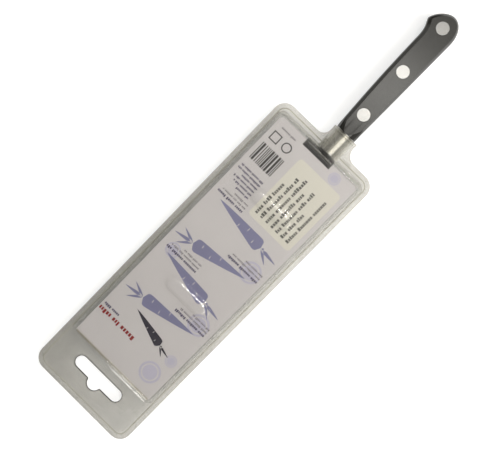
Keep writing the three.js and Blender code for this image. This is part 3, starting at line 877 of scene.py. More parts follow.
def build_zone(name):
    """Mask of a zone between two places on X, with soft ends."""
    group, inputs, outputs = new_group(name, [("Start", 0), ("End", 1), ("Soft", 0.1)], ["Mask"])
    where = put(group, "ShaderNodeTexCoord")
    split = put(group, "ShaderNodeSeparateXYZ")
    group.links.new(where.outputs["Object"], split.inputs[0])
    after = maths(group, "SUBTRACT", split.outputs["X"], inputs.outputs["Start"])
    before = maths(group, "SUBTRACT", inputs.outputs["End"], split.outputs["X"])
    inside = maths(group, "DIVIDE", maths(group, "MINIMUM", after, before), inputs.outputs["Soft"])
    inside.node.use_clamp = True
    group.links.new(inside, outputs.inputs["Mask"])
    return group


def paint_shade_zone(material, start, end, soft, factor):
    """Paints shade onto a metal between two places on X, by darkening its colour."""
    tree = material.node_tree
    surface = next(node for node in tree.nodes if node.type == "BSDF_PRINCIPLED")
    tint = surface.inputs["Base Color"].links[0].from_socket
    zone = put_group(tree, "zone along X", build_zone, Start=start, End=end, Soft=soft)
    dark = put(tree, "ShaderNodeMix", data_type="RGBA", blend_type="MULTIPLY")
    plain, shaded = colour_sockets(dark.inputs)
    tree.links.new(zone.outputs["Mask"], dark.inputs["Factor"])
    tree.links.new(tint, plain)
    shaded.default_value = opaque((factor,) * 3)
    tree.links.new(colour_sockets(dark.outputs)[0], surface.inputs["Base Color"])


def ground_metal(name, rgb, roughness, along, depth):
    """Metal with grind lines; along says how close the noise is along X, Y and Z."""
    material, tree, output = new_material(name)
    surface = put(tree, "ShaderNodeBsdfPrincipled")
    fill_in(surface, Metallic=1.0)
    lines = put_group(tree, "grind lines", build_lines, Along_X=along[0], Along_Y=along[1], Along_Z=along[2])
    tint = blend_colour(tree, lines.outputs["Lines"], *(shade(rgb, factor) for factor in GRIND_SHADES))
    tree.links.new(tint, surface.inputs["Base Color"])
    rough = spread(tree, lines.outputs["Lines"], roughness - GRIND_PLAY, roughness + GRIND_PLAY)
    tree.links.new(rough, surface.inputs["Roughness"])
    tree.links.new(bump(tree, lines.outputs["Lines"], depth), surface.inputs["Normal"])
    tree.links.new(surface.outputs[0], output.inputs["Surface"])
    return material


# The clear pack


def neck_end(pack):
    """End of the band beside the neck, on X."""
    return HANG_X + pack.pack_length


def pocket_ends(pack):
    """Tab end and neck end of the pocket, on X."""
    return HANG_X + pack.tab, neck_end(pack) - pack.neck_band


def add_plane(name, low, high, z):
    """A level face between two corners."""
    clear_selection()
    low = Vector(low)
    high = Vector(high)
    middle = (low + high) / 2
    bpy.ops.mesh.primitive_plane_add(size=1, location=(middle.x, middle.y, z))
    bpy.ops.transform.resize(value=(high.x - low.x, high.y - low.y, 1))
    return settle(bpy.context.object, name)


def round_corner(piece, place, radius, steps):
    """Rounds one corner of a flat face."""
    with editing(piece, "VERT"):
        pick("verts", lambda vertex: (vertex.co.xy - Vector(place)).length < SAME_PLACE)
        bpy.ops.mesh.bevel(offset=radius, segments=steps, affect="VERTICES")


def pack_plate(pack):
    """Flat band round the pocket: its outline in rib steps, and the groove inside the weld."""
    end = neck_end(pack)
    half_pitch = pack.rib_pitch / 2
    plate = add_plane("plate", (HANG_X, -SIDE_Y), (end, SIDE_Y), WELD_Z + pack.sheet)
    for place in ((x, y) for x in (HANG_X, end) for y in (-SIDE_Y, SIDE_Y)):
        round_corner(plate, place, pack.corner, round(pack.corner * math.pi / 2 / half_pitch))
    with editing(plate, "FACE"):
        bpy.ops.mesh.select_all(action="SELECT")
        bpy.ops.mesh.delete(type="ONLY_FACE")
    divide_outline(plate, half_pitch)
    with editing(plate, "EDGE"):
        bpy.ops.mesh.select_all(action="SELECT")
        bpy.ops.mesh.edge_face_add()
    face_up(plate)
    for _ in (FILM, FOLD, RIM, MILKY):
        bpy.ops.object.material_slot_add()
    with editing(plate, "FACE"):
        bpy.ops.mesh.select_all(action="SELECT")
        bpy.ops.mesh.inset(thickness=pack.rib_length, depth=0)
        # The groove gets the folds' darker tint, which is painted shade
        give_material(FOLD)
        bpy.ops.mesh.inset(thickness=pack.groove, depth=-pack.groove_depth)
        bpy.ops.mesh.inset(thickness=pack.groove, depth=pack.groove_depth)
        give_material(FILM)
    draw_down(plate, pack.sheet)
    return plate


def face_up(piece):
    """Turns a flat face upwards."""
    if piece.data.polygons[0].normal.z < 0:
        with editing(piece, "FACE"):
            bpy.ops.mesh.select_all(action="SELECT")
            bpy.ops.mesh.flip_normals()


def draw_down(piece, depth):
    """Makes a closed plate of a flat sheet."""
    with editing(piece, "FACE"):
        bpy.ops.mesh.select_all(action="SELECT")
        bpy.ops.mesh.extrude_region_move(TRANSFORM_OT_translate={"value": (0, 0, -depth)})
    close_up(piece)


def lips_body(pack):
    """Flat lips beside the neck, flared into the end of the band."""
    end = neck_end(pack)
    back = end - pack.rib_length / 2
    spine = NECK_Y - pack.neck_radius - pack.spine_lip
    edge = NECK_Y + pack.neck_radius + pack.edge_lip
    low = (back, spine - pack.spine_flare)
    high = (end, edge + pack.edge_flare)
    lips = add_plane("lips", low, high, WELD_Z + pack.sheet)
    with editing(lips, "EDGE"):
        for y in (spine, edge):
            bpy.ops.mesh.select_all(action="SELECT")
            bpy.ops.mesh.bisect(plane_co=(0, y, 0), plane_no=(0, 1, 0))
        bpy.ops.mesh.select_all(action="DESELECT")
        pick("edges", lambda e: abs(edge_middle(e).x - end) < SAME_PLACE and spine < edge_middle(e).y < edge)
        bpy.ops.mesh.extrude_edges_move(TRANSFORM_OT_translate={"value": (MOUTH_X - end, 0, 0)})
        bpy.ops.mesh.select_all(action="SELECT")
        bpy.ops.mesh.dissolve_limited(angle_limit=math.radians(1))
    round_corner(lips, (end, spine), FLARE_SHARE * pack.spine_flare, CORNER_STEPS)
    round_corner(lips, (end, edge), FLARE_SHARE * pack.edge_flare, CORNER_STEPS)
    face_up(lips)
    draw_down(lips, pack.sheet)
    return lips


def divide_outline(piece, pitch):
    """Divides the long edges of a wire into steps of about one pitch."""
    most_cuts = 100
    with editing(piece, "EDGE"):
        while True:
            edit = bmesh.from_edit_mesh(piece.data)
            longest = max(edge.calc_length() for edge in edit.edges)
            count = round(longest / pitch)
            if count < 2:
                break
            if count > most_cuts:
                count = math.ceil(count / most_cuts)
            bpy.ops.mesh.select_all(action="DESELECT")
            pick("edges", lambda edge: abs(edge.calc_length() - longest) < SAME_PLACE)
            bpy.ops.mesh.subdivide(number_cuts=count - 1)


def slot_body(pack):
    """Body of the hang slot, with its round notch and the ease on both sides of the notch."""
    right = HANG_X + pack.tab - pack.slot_to_pocket
    left = right - pack.slot_width
    end = pack.slot_width / 2
    middle = right - end
    reach = pack.slot_length / 2 - end
    ease = pack.slot_ease
    turn = math.acos(ease / (pack.slot_notch + ease))
    ease_y = (pack.slot_notch + ease) * math.sin(turn)
    outline = (
        arc((middle, reach), end, math.pi, 0) + arc((middle, -reach), end, 0, -math.pi)
        + arc((left - ease, -ease_y), ease, 0, turn)
        + arc((left, 0), pack.slot_notch, math.pi + turn, math.pi - turn)
        + arc((left - ease, ease_y), ease, -turn, 0)
    )
    return cut_out("slot", [outline], WELD_Z - pack.sheet, WELD_Z + 2 * pack.sheet)


def pocket_body(pack, rise):
    """Formed pocket over the band, up to its flat."""
    steps = formed_steps(rise - pack.sheet, pack.wall_lean, pack.foot_round, pack.rim_round)
    grow = pack.foot_round * math.tan(pack.wall_lean / 2)
    half = SIDE_Y - pack.side_band + grow
    left, right = pocket_ends(pack)
    left += pack.ledge
    band = WELD_Z + pack.sheet
    body = pad(
        "pocket", (left - grow, -half, WELD_Z + pack.sheet / 2), (right + grow, half, band),
        pack.pocket_corner + grow, CORNER_STEPS,
    )
    raise_top(body, steps)
    return body


def ledge_body(pack):
    """Low ledge in front of the pocket's tab end."""
    left = pocket_ends(pack)[0]
    half = SIDE_Y - pack.side_band - pack.ledge_inset
    band = WELD_Z + pack.sheet
    body = pad(
        "ledge", (left, -half, WELD_Z + pack.sheet / 2), (left + 2 * pack.corner, half, band),
        pack.pocket_corner, CORNER_STEPS,
    )
    raise_top(body, formed_steps(pack.ledge_rise, pack.ledge_lean, pack.ledge_round, pack.ledge_round))
    return body


def oval_body(pack, place, size, steps):
    """Oval boss across the back panel, with its middle at a place; size is its width and its length."""
    panel = WELD_Z + pack.panel_rise
    x, y = place
    half_width = size[0] / 2
    half = size[1] / 2
    body = pad(
        "oval", (x - half_width, y - half, panel - pack.sheet), (x + half_width, y + half, panel),
        OVAL_SHARE * half_width, 2 * CORNER_STEPS,
    )
    raise_top(body, steps)
    return body


def boss_bodies(pack):
    """The two oval bosses and the ridge along the window's tab end."""
    left, right = pocket_ends(pack)
    steps = formed_steps(pack.boss_rise, pack.boss_lean, pack.boss_foot, pack.boss_rim)
    for x in (left + pack.boss_from_tab, right - pack.boss_from_neck):
        yield oval_body(pack, (x, pack.boss_offset), (pack.boss_width, pack.boss_length), steps)
    reach = 2 * (SIDE_Y - pack.side_band - pack.ridge_inset)
    steps = formed_steps(pack.ridge_rise, pack.ledge_lean, pack.ridge_rise / 2, pack.ridge_rise)
    yield oval_body(pack, (left + pack.ridge_from_tab, 0), (pack.ridge_width, reach), steps)


def neck_body(pack):
    """Round neck over the bolster, with a cone at its inner end and a bead at its mouth."""
    start = MOUTH_X - pack.neck_cone_start
    bead = BACK_HIGH.z - WELD_Z
    bead_start = MOUTH_X - pack.bead_length
    ease = bead - pack.neck_radius
    return turned("neck", "x", (0, NECK_Y, WELD_Z), [
        (start, pack.panel_rise - pack.sheet / 4), (start + pack.neck_cone, pack.neck_radius),
        (bead_start - ease, pack.neck_radius), (bead_start, bead - ease / 4), (bead_start + ease / 2, bead),
        (MOUTH_X - 1.5 * ease, bead), (MOUTH_X - ease, bead - ease / 4), (MOUTH_X, pack.neck_radius),
    ])


def formed_half(pack, name, rise, bossed):
    """One half of the pack, with its pocket up: an open skin first, then its wall, rims and weld ribs."""
    half = pack_plate(pack)
    half.name = name
    combine(half, lips_body(pack), "UNION")
    combine(half, pocket_body(pack, rise), "UNION")
    combine(half, ledge_body(pack), "UNION")
    if bossed:
        for boss in boss_bodies(pack):
            combine(half, boss, "UNION")
    combine(half, neck_body(pack), "UNION")
    combine(half, slot_body(pack), "DIFFERENCE")
    underside = WELD_Z + pack.sheet / 2 + SAME_PLACE

    def in_the_way(face):
        """True under the band and across the mouth, where the skin stays open."""
        middle = face.calc_center_median()
        closes_mouth = face.normal.x > FACING and middle.x > MOUTH_X - SAME_PLACE
        return middle.z < underside or closes_mouth

    with editing(half, "FACE"):
        pick("faces", in_the_way)
        bpy.ops.mesh.delete(type="FACE")
    close_up(half)
    with editing(half, "FACE"):
        bpy.ops.mesh.select_all(action="SELECT")
        widest = max(half.data.polygons, key=lambda face: face.area)
        if widest.normal.z < 0:
            bpy.ops.mesh.flip_normals()
    mark_neck(pack, half)
    if bossed:
        mark_ridge(pack, half)
    thicken(half, pack.sheet - pack.weld_gap)
    ease_rims(pack, half)
    press_ribs(pack, half)
    return half


def mark_neck(pack, half):
    """Marks the drawn neck as milky, and the slopes of its bead as folds, whose darker tint is painted shade.
    """
    start = MOUTH_X - pack.neck_cone_start + pack.neck_cone
    bead = MOUTH_X - 2 * pack.bead_length
    above = WELD_Z + 2 * pack.sheet
    widest = 1.1 * pack.neck_radius
    least_slope = 0.3

    def on_neck(face):
        middle = face.calc_center_median()
        out = Vector((middle.y - NECK_Y, middle.z - WELD_Z)).length
        return middle.x > start and middle.z > above and out < widest and face.normal.z < LEVEL

    with editing(half, "FACE"):
        pick("faces", on_neck)
        give_material(MILKY)
        bpy.ops.mesh.select_all(action="DESELECT")
        pick("faces", lambda face: face.calc_center_median().x > bead and abs(face.normal.x) > least_slope)
        give_material(FOLD)


def mark_ridge(pack, half):
    """Marks the ridge along the window's tab end as a fold, whose darker tint is painted shade."""
    panel = WELD_Z + pack.panel_rise
    ridge = pocket_ends(pack)[0] + pack.ridge_from_tab

    def on_ridge(face):
        middle = face.calc_center_median()
        return middle.z > panel + SAME_PLACE and abs(middle.x - ridge) < pack.ridge_width

    with editing(half, "FACE"):
        pick("faces", on_ridge)
        give_material(FOLD)


def ease_rims(pack, half):
    """Eases the punched rim of the hang slot, and gives the ease the dark tint of the rims, a painted dark
    outline.
    """
    band = WELD_Z + pack.sheet
    first = HANG_X + pack.rib_length
    last = HANG_X + pack.tab
    side = SIDE_Y - pack.rib_length

    def cut_rim(edge):
        middle = edge_middle(edge)
        if abs(middle.z - band) > SAME_PLACE or not first < middle.x < last or abs(middle.y) > side:
            return False
        if len(edge.link_faces) != 2 or not edge.is_convex:
            return False
        steep = sorted(abs(face.normal.z) for face in edge.link_faces)
        return steep[0] < ACROSS and steep[1] > STRAIGHT

    with editing(half, "EDGE"):
        pick("edges", cut_rim)
        bpy.ops.mesh.bevel(
            offset=pack.rim_ease, segments=1, affect="EDGES", clamp_overlap=False, material=RIM
        )


def press_ribs(pack, half):
    """Raises every other step of the welded band into a rib."""
    band = WELD_Z + pack.sheet
    step_area = pack.rib_pitch / 2 * pack.rib_length
    smallest = 0.3 * step_area
    largest = 1.5 * step_area
    end = neck_end(pack)

    def on_band(face):
        middle = face.calc_center_median()
        return (
            len(face.verts) == 4 and face.normal.z > STRAIGHT and abs(middle.z - band) < SAME_PLACE
            and smallest < face.calc_area() < largest and middle.x < end
        )

    with editing(half, "FACE"):
        pick("faces", on_band)
        edit = bmesh.from_edit_mesh(half.data)
        edit.faces.ensure_lookup_table()
        edit.faces.active = next(face for face in edit.faces if face.select)
        bpy.ops.mesh.select_nth(skip=1, nth=1)
        bpy.ops.mesh.inset(thickness=pack.rib_slope, depth=pack.rib_height, use_individual=True)


class PACK_OT_back_shell(bpy.types.Operator):
    """Models the formed sheet that carries the card, with its bosses"""

    bl_idname = "knife_pack.back_shell"
    bl_label = "Back shell"

    def execute(self, context):
        pack = context.scene.pack_sizes
        shell = formed_half(pack, "clear_back_shell", pack.panel_rise, bossed=True)
        smooth(shell, degrees=28)
        finishes = context.scene.finishes
        films = sheet_films(pack, finishes, "back", (finishes.clear_back,) * 2, finishes.back_haze)
        finish_piece(shell, films, "back_half", "clear_sheet", "pack_back_shell")
        return {"FINISHED"}


class PACK_OT_front_shell(bpy.types.Operator):
    """Models the deeper formed sheet on the other side"""

    bl_idname = "knife_pack.front_shell"
    bl_label = "Front shell"

    def execute(self, context):
        pack = context.scene.pack_sizes
        shell = formed_half(pack, "clear_front_shell", WELD_Z - FRONT_LOW.z, bossed=False)
        with editing(shell, "VERT"):
            bpy.ops.mesh.select_all(action="SELECT")
            bpy.ops.transform.resize(value=(1, 1, -1), center_override=(0, 0, WELD_Z))
            bpy.ops.mesh.flip_normals()
        smooth(shell, degrees=28)
        finishes = context.scene.finishes
        # Painted shade and light: the front sheet is darker at the hang tab's edge side and clearer at the
        # neck end
        tints = (finishes.clear_front, finishes.clear_front_painted_lit)
        films = sheet_films(pack, finishes, "front", tints, finishes.front_haze)
        finish_piece(shell, films, "front_half", "clear_sheet", "pack_front_shell")
        return {"FINISHED"}


# The knife


def handle_points(knife, start):
    """Outline of the handle as curve points: each has its place, the control before it and the one after."""
    bottom = NECK_Y - knife.bolster / 2
    low = bottom - knife.spine_swell
    top = bottom + knife.bolster
    grip = low + knife.grip_height
    beak = Vector((BUTT_X - knife.beak_from_butt, low + knife.beak_height))
    middle = Vector((BUTT_X, low + knife.butt_middle))
    corner = Vector((BUTT_X - knife.butt_round, low))
    hollow = Vector((beak.x - knife.beak_run, grip))
    first = Vector((start, bottom))
    last = Vector((start, top))
    belly = Vector(((start + corner.x) / 2, low))
    crown = Vector(((start + hollow.x) / 2, grip - knife.spine_swell))

    def toward(point, control):
        """Control of a curve that bends once, on the way to a corner."""
        return point + (control - point) * 2 / 3

    butt_low = Vector((BUTT_X, (low + middle.y) / 2 - knife.butt_ease))
    butt_high = Vector((BUTT_X, middle.y + knife.butt_middle / 2))
    shoulder = beak.y - knife.butt_ease
    beak_before = Vector((beak.x + knife.beak_from_butt / 2, shoulder))
    beak_after = Vector((beak.x - knife.beak_run / 4, shoulder))
    return [
        (first, first.lerp(last, 1 / 3), toward(first, belly)),
        (corner, toward(corner, belly), Vector((BUTT_X - knife.butt_round / 2, low))),
        (middle, butt_low, butt_high),
        (beak, beak_before, beak_after),
        (hollow, Vector((beak.x - knife.beak_run / 3, grip)), toward(hollow, crown)),
        (last, toward(last, crown), last.lerp(first, 1 / 3)),
    ]


def handle_blank(knife, name, thickness, chamfer, start):
    """A plate with the handle's outline and chamfered edges, about the weld plane."""
    clear_selection()
    bpy.ops.curve.primitive_bezier_curve_add(location=(0, 0, WELD_Z))
    outline = bpy.context.object.data
    outline.dimensions = "2D"
    outline.fill_mode = "BOTH"
    outline.resolution_u = CURVE_STEPS
    outline.extrude = thickness / 2 - chamfer
    outline.bevel_depth = chamfer
    outline.bevel_resolution = 0
    outline.offset = -chamfer
    points = handle_points(knife, start)
    spline = outline.splines[0]
    spline.bezier_points.add(len(points) - len(spline.bezier_points))
    spline.use_cyclic_u = True
    for point, (place, before, after) in zip(spline.bezier_points, points):
        point.handle_left_type = "FREE"
        point.handle_right_type = "FREE"
        point.co = place.to_3d()
        point.handle_left = before.to_3d()
        point.handle_right = after.to_3d()
    bpy.ops.object.convert(target="MESH")
    piece = settle(bpy.context.object, name)
    close_up(piece)
    return piece


def rivet_centres():
    """Centres of the three rivets."""
    return [(low + high) / 2 for low, high in STUDS]


def rivet_hole(knife, centre, head_seat, outer):
    """Stepped hole for one rivet, from the tang out through a scale's face."""
    fit = knife.rivet_fit
    shank = knife.rivet_tube / 2 + fit
    head = knife.rivet_head / 2 + fit
    inner = 2 * WELD_Z - outer
    return turned("hole", "z", centre, [(inner, shank), (head_seat, shank), (head_seat, head), (outer, head)])


def front_former(knife):
    """Cone that takes the corners off the handle's section towards the bolster, and reaches past the butt."""
    half = knife.handle / 2
    nose = math.hypot(half, knife.nose_flat / 2)
    slope = (math.hypot(half, knife.grip_height / 2) - nose) / knife.nose_run
    full = 2 * knife.handle
    return turned("former", "x", (0, NECK_Y, WELD_Z), [
        (BOLSTER_X - OVERLAP, nose - slope * OVERLAP),
        (BOLSTER_X + (full - nose) / slope, full), (BUTT_X + knife.collar, full),
    ], 2 * ROUND_SIDES)


def handle_scale(knife, name, side):
    """One scale: the blank is split at the tang, drawn in at the bolster and drilled."""
    start = BOLSTER_X - 2 * knife.scale_chamfer
    scale = handle_blank(knife, name, knife.handle, knife.scale_chamfer, start)
    blank_shoulder = knife.handle / 2 - knife.scale_chamfer
    shoulder = knife.handle / 2 - knife.chamfer_rise

    def on_shoulder(edge):
        height = abs(edge_middle(edge).z - WELD_Z)
        return not upright(edge) and abs(height - shoulder) < SAME_PLACE

    with editing(scale, "VERT"):
        pick("verts", lambda vertex: abs(vertex.co.z - WELD_Z) > blank_shoulder + SAME_PLACE)
        bpy.ops.transform.translate(value=(knife.butt_shift, -knife.chamfer_shift, 0))
        bpy.ops.mesh.select_all(action="INVERT")
        bpy.ops.transform.resize(value=(1, 1, shoulder / blank_shoulder), center_override=(0, 0, WELD_Z))
    with editing(scale, "EDGE"):
        pick("edges", on_shoulder)
        bpy.ops.mesh.bevel(offset=knife.scale_round, segments=EDGE_STEPS, affect="EDGES", clamp_overlap=True)
    with editing(scale, "VERT"):
        bpy.ops.mesh.select_all(action="SELECT")
        face = WELD_Z + side * knife.tang / 2
        bpy.ops.mesh.bisect(plane_co=(0, 0, face), plane_no=(0, 0, side), use_fill=True, clear_inner=True)
        bpy.ops.mesh.select_all(action="SELECT")
        bpy.ops.mesh.bisect(plane_co=(BOLSTER_X, 0, 0), plane_no=(1, 0, 0), use_fill=True, clear_inner=True)
    combine(scale, front_former(knife), "INTERSECT")
    outer = WELD_Z + side * knife.handle
    seat = WELD_Z + side * (knife.handle / 2 - knife.rivet_head_thickness)
    for centre in rivet_centres():
        combine(scale, rivet_hole(knife, centre, seat, outer), "DIFFERENCE")
    smooth(scale, degrees=24)
    return scale


class KNIFE_OT_scales(bpy.types.Operator):
    """Models the two plastic scales of the handle"""

    bl_idname = "knife_pack.scales"
    bl_label = "Handle scales"

    def execute(self, context):
        knife = context.scene.knife_sizes
        finishes = context.scene.finishes
        plastic = plain_finish(
            "moulded_scales", finishes.handle, roughness=0.13, broad=45, fine=5200, variation=0.1,
            depth=0.002 * MM, shine=1.0,
        )
        for name, side in (("back", 1), ("front", -1)):
            scale = handle_scale(knife, f"scale_{name}", side)
            finish_piece(scale, [plastic], "knife", "handle_plastic", f"handle_scale_{name}")
        return {"FINISHED"}


def blade_body(knife, heel_x):
    """Ground blade, drawn out from the heel to the tip along two curves."""
    spine_y = -knife.heel_height / 2
    edge_x = heel_x - knife.heel_length
    tip_x = edge_x - knife.blade_length
    start_x = edge_x + knife.heel_peak

    def line(heel_y, aim_y):
        """Points of the spine or the edge, from the heel to the tip."""
        return interpolate_bezier(
            Vector((edge_x, heel_y)), Vector((edge_x - knife.spine_run, heel_y)),
            Vector((tip_x + knife.tip_run, aim_y)), Vector((tip_x, 0)), BLADE_STEPS,
        )

    clear_selection()
    bpy.ops.mesh.primitive_plane_add(size=1, location=(start_x, 0, WELD_Z), rotation=(0, math.pi / 2, 0))
    bpy.ops.transform.resize(value=(1, knife.heel_height, knife.spine))
    blade = settle(bpy.context.object, "blade_body")
    place = Vector((start_x, 0, WELD_Z))
    tall = knife.heel_height
    thick = knife.spine
    with editing(blade, "VERT"):
        pick("verts", lambda vertex: vertex.co.y > 0)
        bpy.ops.transform.resize(value=(1, 1, knife.edge / knife.spine), center_override=place)
    with editing(blade, "FACE"):
        bpy.ops.mesh.select_all(action="SELECT")
        stations = list(zip(line(spine_y, -knife.spine_droop), line(-spine_y, knife.edge_belly)))
        for number, (low, high) in enumerate(stations):
            part = number / len(stations)
            next_tall = max(high.y - low.y, knife.edge)
            next_thick = knife.spine + (knife.tip_spine - knife.spine) * part
            next_place = Vector((low.x, (low.y + high.y) / 2, WELD_Z))
            draw_out(next_place - place, (1, next_tall / tall, next_thick / thick), next_place)
            place = next_place
            tall = next_tall
            thick = next_thick
    close_up(blade)
    return blade


def heel_body(knife, heel_x):
    """Full-height heel that swells from the blade's thickness and rounds off at its rear."""
    half = knife.heel_height / 2

    def swell(back):
        """Thickness of the heel at a distance from its rear."""
        if back < knife.heel_peak:
            part = math.sin(back / knife.heel_peak * math.pi / 2)
        else:
            along = (back - knife.heel_peak) / (knife.heel_length - knife.heel_peak)
            part = (1 + math.cos(math.pi * along)) / 2
        return knife.spine + part * (knife.heel_thickness - knife.spine)

    heel = add_box(
        "heel", (heel_x - OVERLAP, -half, WELD_Z - knife.heel_thickness / 2),
        (heel_x, half, WELD_Z + knife.heel_thickness / 2),
    )
    with editing(heel, "EDGE"):
        pick("edges", lambda e: abs(e.verts[0].co.x - e.verts[1].co.x) > SAME_PLACE)
        bpy.ops.mesh.bevel(offset=knife.heel_round, segments=EDGE_STEPS, affect="EDGES")
    with editing(heel, "VERT"):
        bpy.ops.mesh.select_all(action="SELECT")
        first = swell(0) / knife.heel_thickness
        bpy.ops.transform.resize(value=(1, 1, first), center_override=(heel_x, 0, WELD_Z))
    with editing(heel, "FACE"):
        pick("faces", lambda face: face.normal.x < -FACING)
        before = swell(0)
        place = Vector((heel_x - OVERLAP, 0, WELD_Z))
        for number in range(1, HEEL_STEPS + 1):
            back = OVERLAP + (knife.heel_length - OVERLAP) * number / HEEL_STEPS
            next_place = Vector((heel_x - back, 0, WELD_Z))
            draw_out(next_place - place, (1, 1, swell(back) / before), next_place)
            place = next_place
            before = swell(back)
    close_up(heel)
    return heel


def collar_body(knife, heel_x):
    """Round bolster between the heel and the scales."""
    heel_half = knife.heel_thickness / 2
    waist = knife.waist / 2
    full = knife.bolster / 2
    start = heel_x - knife.heel_length / 2
    flare = heel_x + knife.heel_peak
    ring = BOLSTER_X - knife.bolster_ring
    return turned("collar", "x", (0, NECK_Y, WELD_Z), [
        (start, knife.spine), (heel_x - knife.heel_peak / 2, heel_half),
        (heel_x, (heel_half + 2 * waist) / 3), (heel_x + knife.heel_peak / 2, (heel_half + 8 * waist) / 9),
        (flare, waist), (ring, full), (BOLSTER_X, full),
    ])


class KNIFE_OT_blade(bpy.types.Operator):
    """Models the forging: blade, heel, bolster and tang"""

    bl_idname = "knife_pack.blade"
    bl_label = "Blade"

    def execute(self, context):
        knife = context.scene.knife_sizes
        heel_x = BOLSTER_X - knife.collar
        forging = blade_body(knife, heel_x)
        forging.name = "forged_blade"
        combine(forging, heel_body(knife, heel_x), "UNION")
        combine(forging, collar_body(knife, heel_x), "UNION")
        tang = handle_blank(knife, "tang", knife.tang, knife.tang_ease, BOLSTER_X - OVERLAP)
        combine(forging, tang, "UNION")
        bore = knife.rivet_tube / 2 + knife.rivet_fit
        for centre in rivet_centres():
            ends = [(WELD_Z - knife.tang, bore), (WELD_Z + knife.tang, bore)]
            combine(forging, turned("hole", "z", centre, ends), "DIFFERENCE")
        smooth(forging, degrees=24)
        finishes = context.scene.finishes
        steel = ground_metal(
            "forged_steel", finishes.steel, roughness=0.26, along=(9000, 500, 500), depth=0.004 * MM
        )
        # Painted shade: the heel is darkened where its polished steel would mirror the dark room
        paint_shade_zone(steel, heel_x - knife.heel_length - MM, heel_x + MM, MM, finishes.heel_painted_shade)
        finish_piece(forging, [steel], "knife", "satin_steel", "blade")
        return {"FINISHED"}


def stud_body(knife, centre):
    """Stud of a rivet: a pin under a flush head."""
    top = WELD_Z + knife.handle / 2
    seat = top - knife.rivet_head_thickness
    end = WELD_Z - knife.handle / 2 + knife.rivet_head_thickness + knife.rivet_gap
    pin = knife.rivet_pin / 2
    head = knife.rivet_head / 2
    ease = knife.rivet_edge
    return turned("stud", "z", centre, [
        (end, pin - ease), (end + ease, pin), (seat, pin),
        (seat, head), (top - ease, head), (top, head - ease),
    ])


def cap_body(knife, centre):
    """Cap of a rivet: a tube over a flush head, with its bore."""
    bottom = WELD_Z - knife.handle / 2
    seat = bottom + knife.rivet_head_thickness
    end = WELD_Z + knife.handle / 2 - knife.rivet_head_thickness - knife.rivet_gap
    tube = knife.rivet_tube / 2
    head = knife.rivet_head / 2
    bore = knife.rivet_bore / 2
    ease = knife.rivet_edge
    return turned("cap", "z", centre, [
        (bottom, head - ease), (bottom + ease, head), (seat, head),
        (seat, tube), (end, tube), (end, bore), (seat, bore),
    ])


class KNIFE_OT_rivets(bpy.types.Operator):
    """Models the three two-piece rivets"""

    bl_idname = "knife_pack.rivets"
    bl_label = "Rivets"

    def execute(self, context):
        knife = context.scene.knife_sizes
        metal = plain_finish(
            "rivet_heads", context.scene.finishes.rivet, roughness=0.15, broad=700, fine=7000, variation=0.05,
            depth=0.001 * MM, metallic=1.0,
        )
        first = rivet_centres()[0]
        for kind, build in (("stud", stud_body), ("cap", cap_body)):
            pattern = build(knife, first)
            smooth(pattern, degrees=30)
            for number, centre in enumerate(rivet_centres(), 1):
                piece = copy_of(pattern, f"{kind}_{number}")
                shift(piece, (centre.x - first.x, centre.y - first.y, 0))
                finish_piece(piece, [metal], "knife", "rivet_metal", f"rivet_{kind}_{number}")
            bpy.data.objects.remove(pattern)
        return {"FINISHED"}


# Card, label and their plain print


class CARD_OT_card(bpy.types.Operator):
    """Models the printed card with its notch for the heel"""

    bl_idname = "knife_pack.card"
    bl_label = "Card"

    def execute(self, context):
        sizes = context.scene.print_sizes
        card = pad("card", CARD_LOW, CARD_HIGH, sizes.card_corner, CORNER_STEPS)
        notch = pad(
            "notch", (CARD_HIGH.x - sizes.notch_depth, -sizes.notch_half, CARD_LOW.z - MM),
            (CARD_HIGH.x + sizes.notch_depth, sizes.notch_half, CARD_HIGH.z + MM),
            sizes.notch_corner, EDGE_STEPS,
        )
        combine(card, notch, "DIFFERENCE")
        smooth(card, degrees=30)
        paper = plain_finish(
            "card_paper", context.scene.finishes.card, roughness=0.55, broad=30, fine=6000, variation=0.025,
            depth=0.006 * MM,
        )
        finish_piece(card, [paper], "back_half", "printed_card", "insert_card")
        return {"FINISHED"}


def placed(outlines, u, v, turn):
    """Puts drawn outlines on the card: u from the hang edge, v from the centre line, in millimetres."""
    place = Vector((HANG_X + u * MM, v * MM))
    turned_by = Matrix.Rotation(math.radians(turn), 2)
    return [[turned_by @ point + place for point in outline] for outline in outlines]


def block(x, y, wide, tall):
    """Corners of a plain block."""
    return [Vector(corner) for corner in ((x, y), (x + wide, y), (x + wide, y + tall), (x, y + tall))]


def block_line(draw, reach, tall, y=0):
    """A line of plain blocks in groups, drawn by chance."""
    blocks = []
    x = 0
    left_in_group = draw.randint(*GROUP_SIZES)
    while x < reach:
        wide = tall * draw.uniform(*BLOCK_WIDTHS)
        blocks.append(block(x, y, wide, tall * draw.choice(BLOCK_HEIGHTS)))
        x += wide + BLOCK_GAP * tall
        left_in_group -= 1
        if not left_in_group:
            x += GROUP_GAP * tall
            left_in_group = draw.randint(*GROUP_SIZES)
    return blocks


def spindle(reach, wide, shoulder, taper):
    """A long shape on the X axis that is round at its shoulder and runs out to a point."""
    side = []
    for step in range(ROOT_STEPS + 1):
        part = step / ROOT_STEPS
        full = math.sqrt(1 - (1 - min(part / shoulder, 1)) ** 2)
        side.append(Vector((reach * part, wide / 2 * full * (1 - part) ** taper)))
    return side + [Vector((point.x, -point.y)) for point in reversed(side[1:-1])]


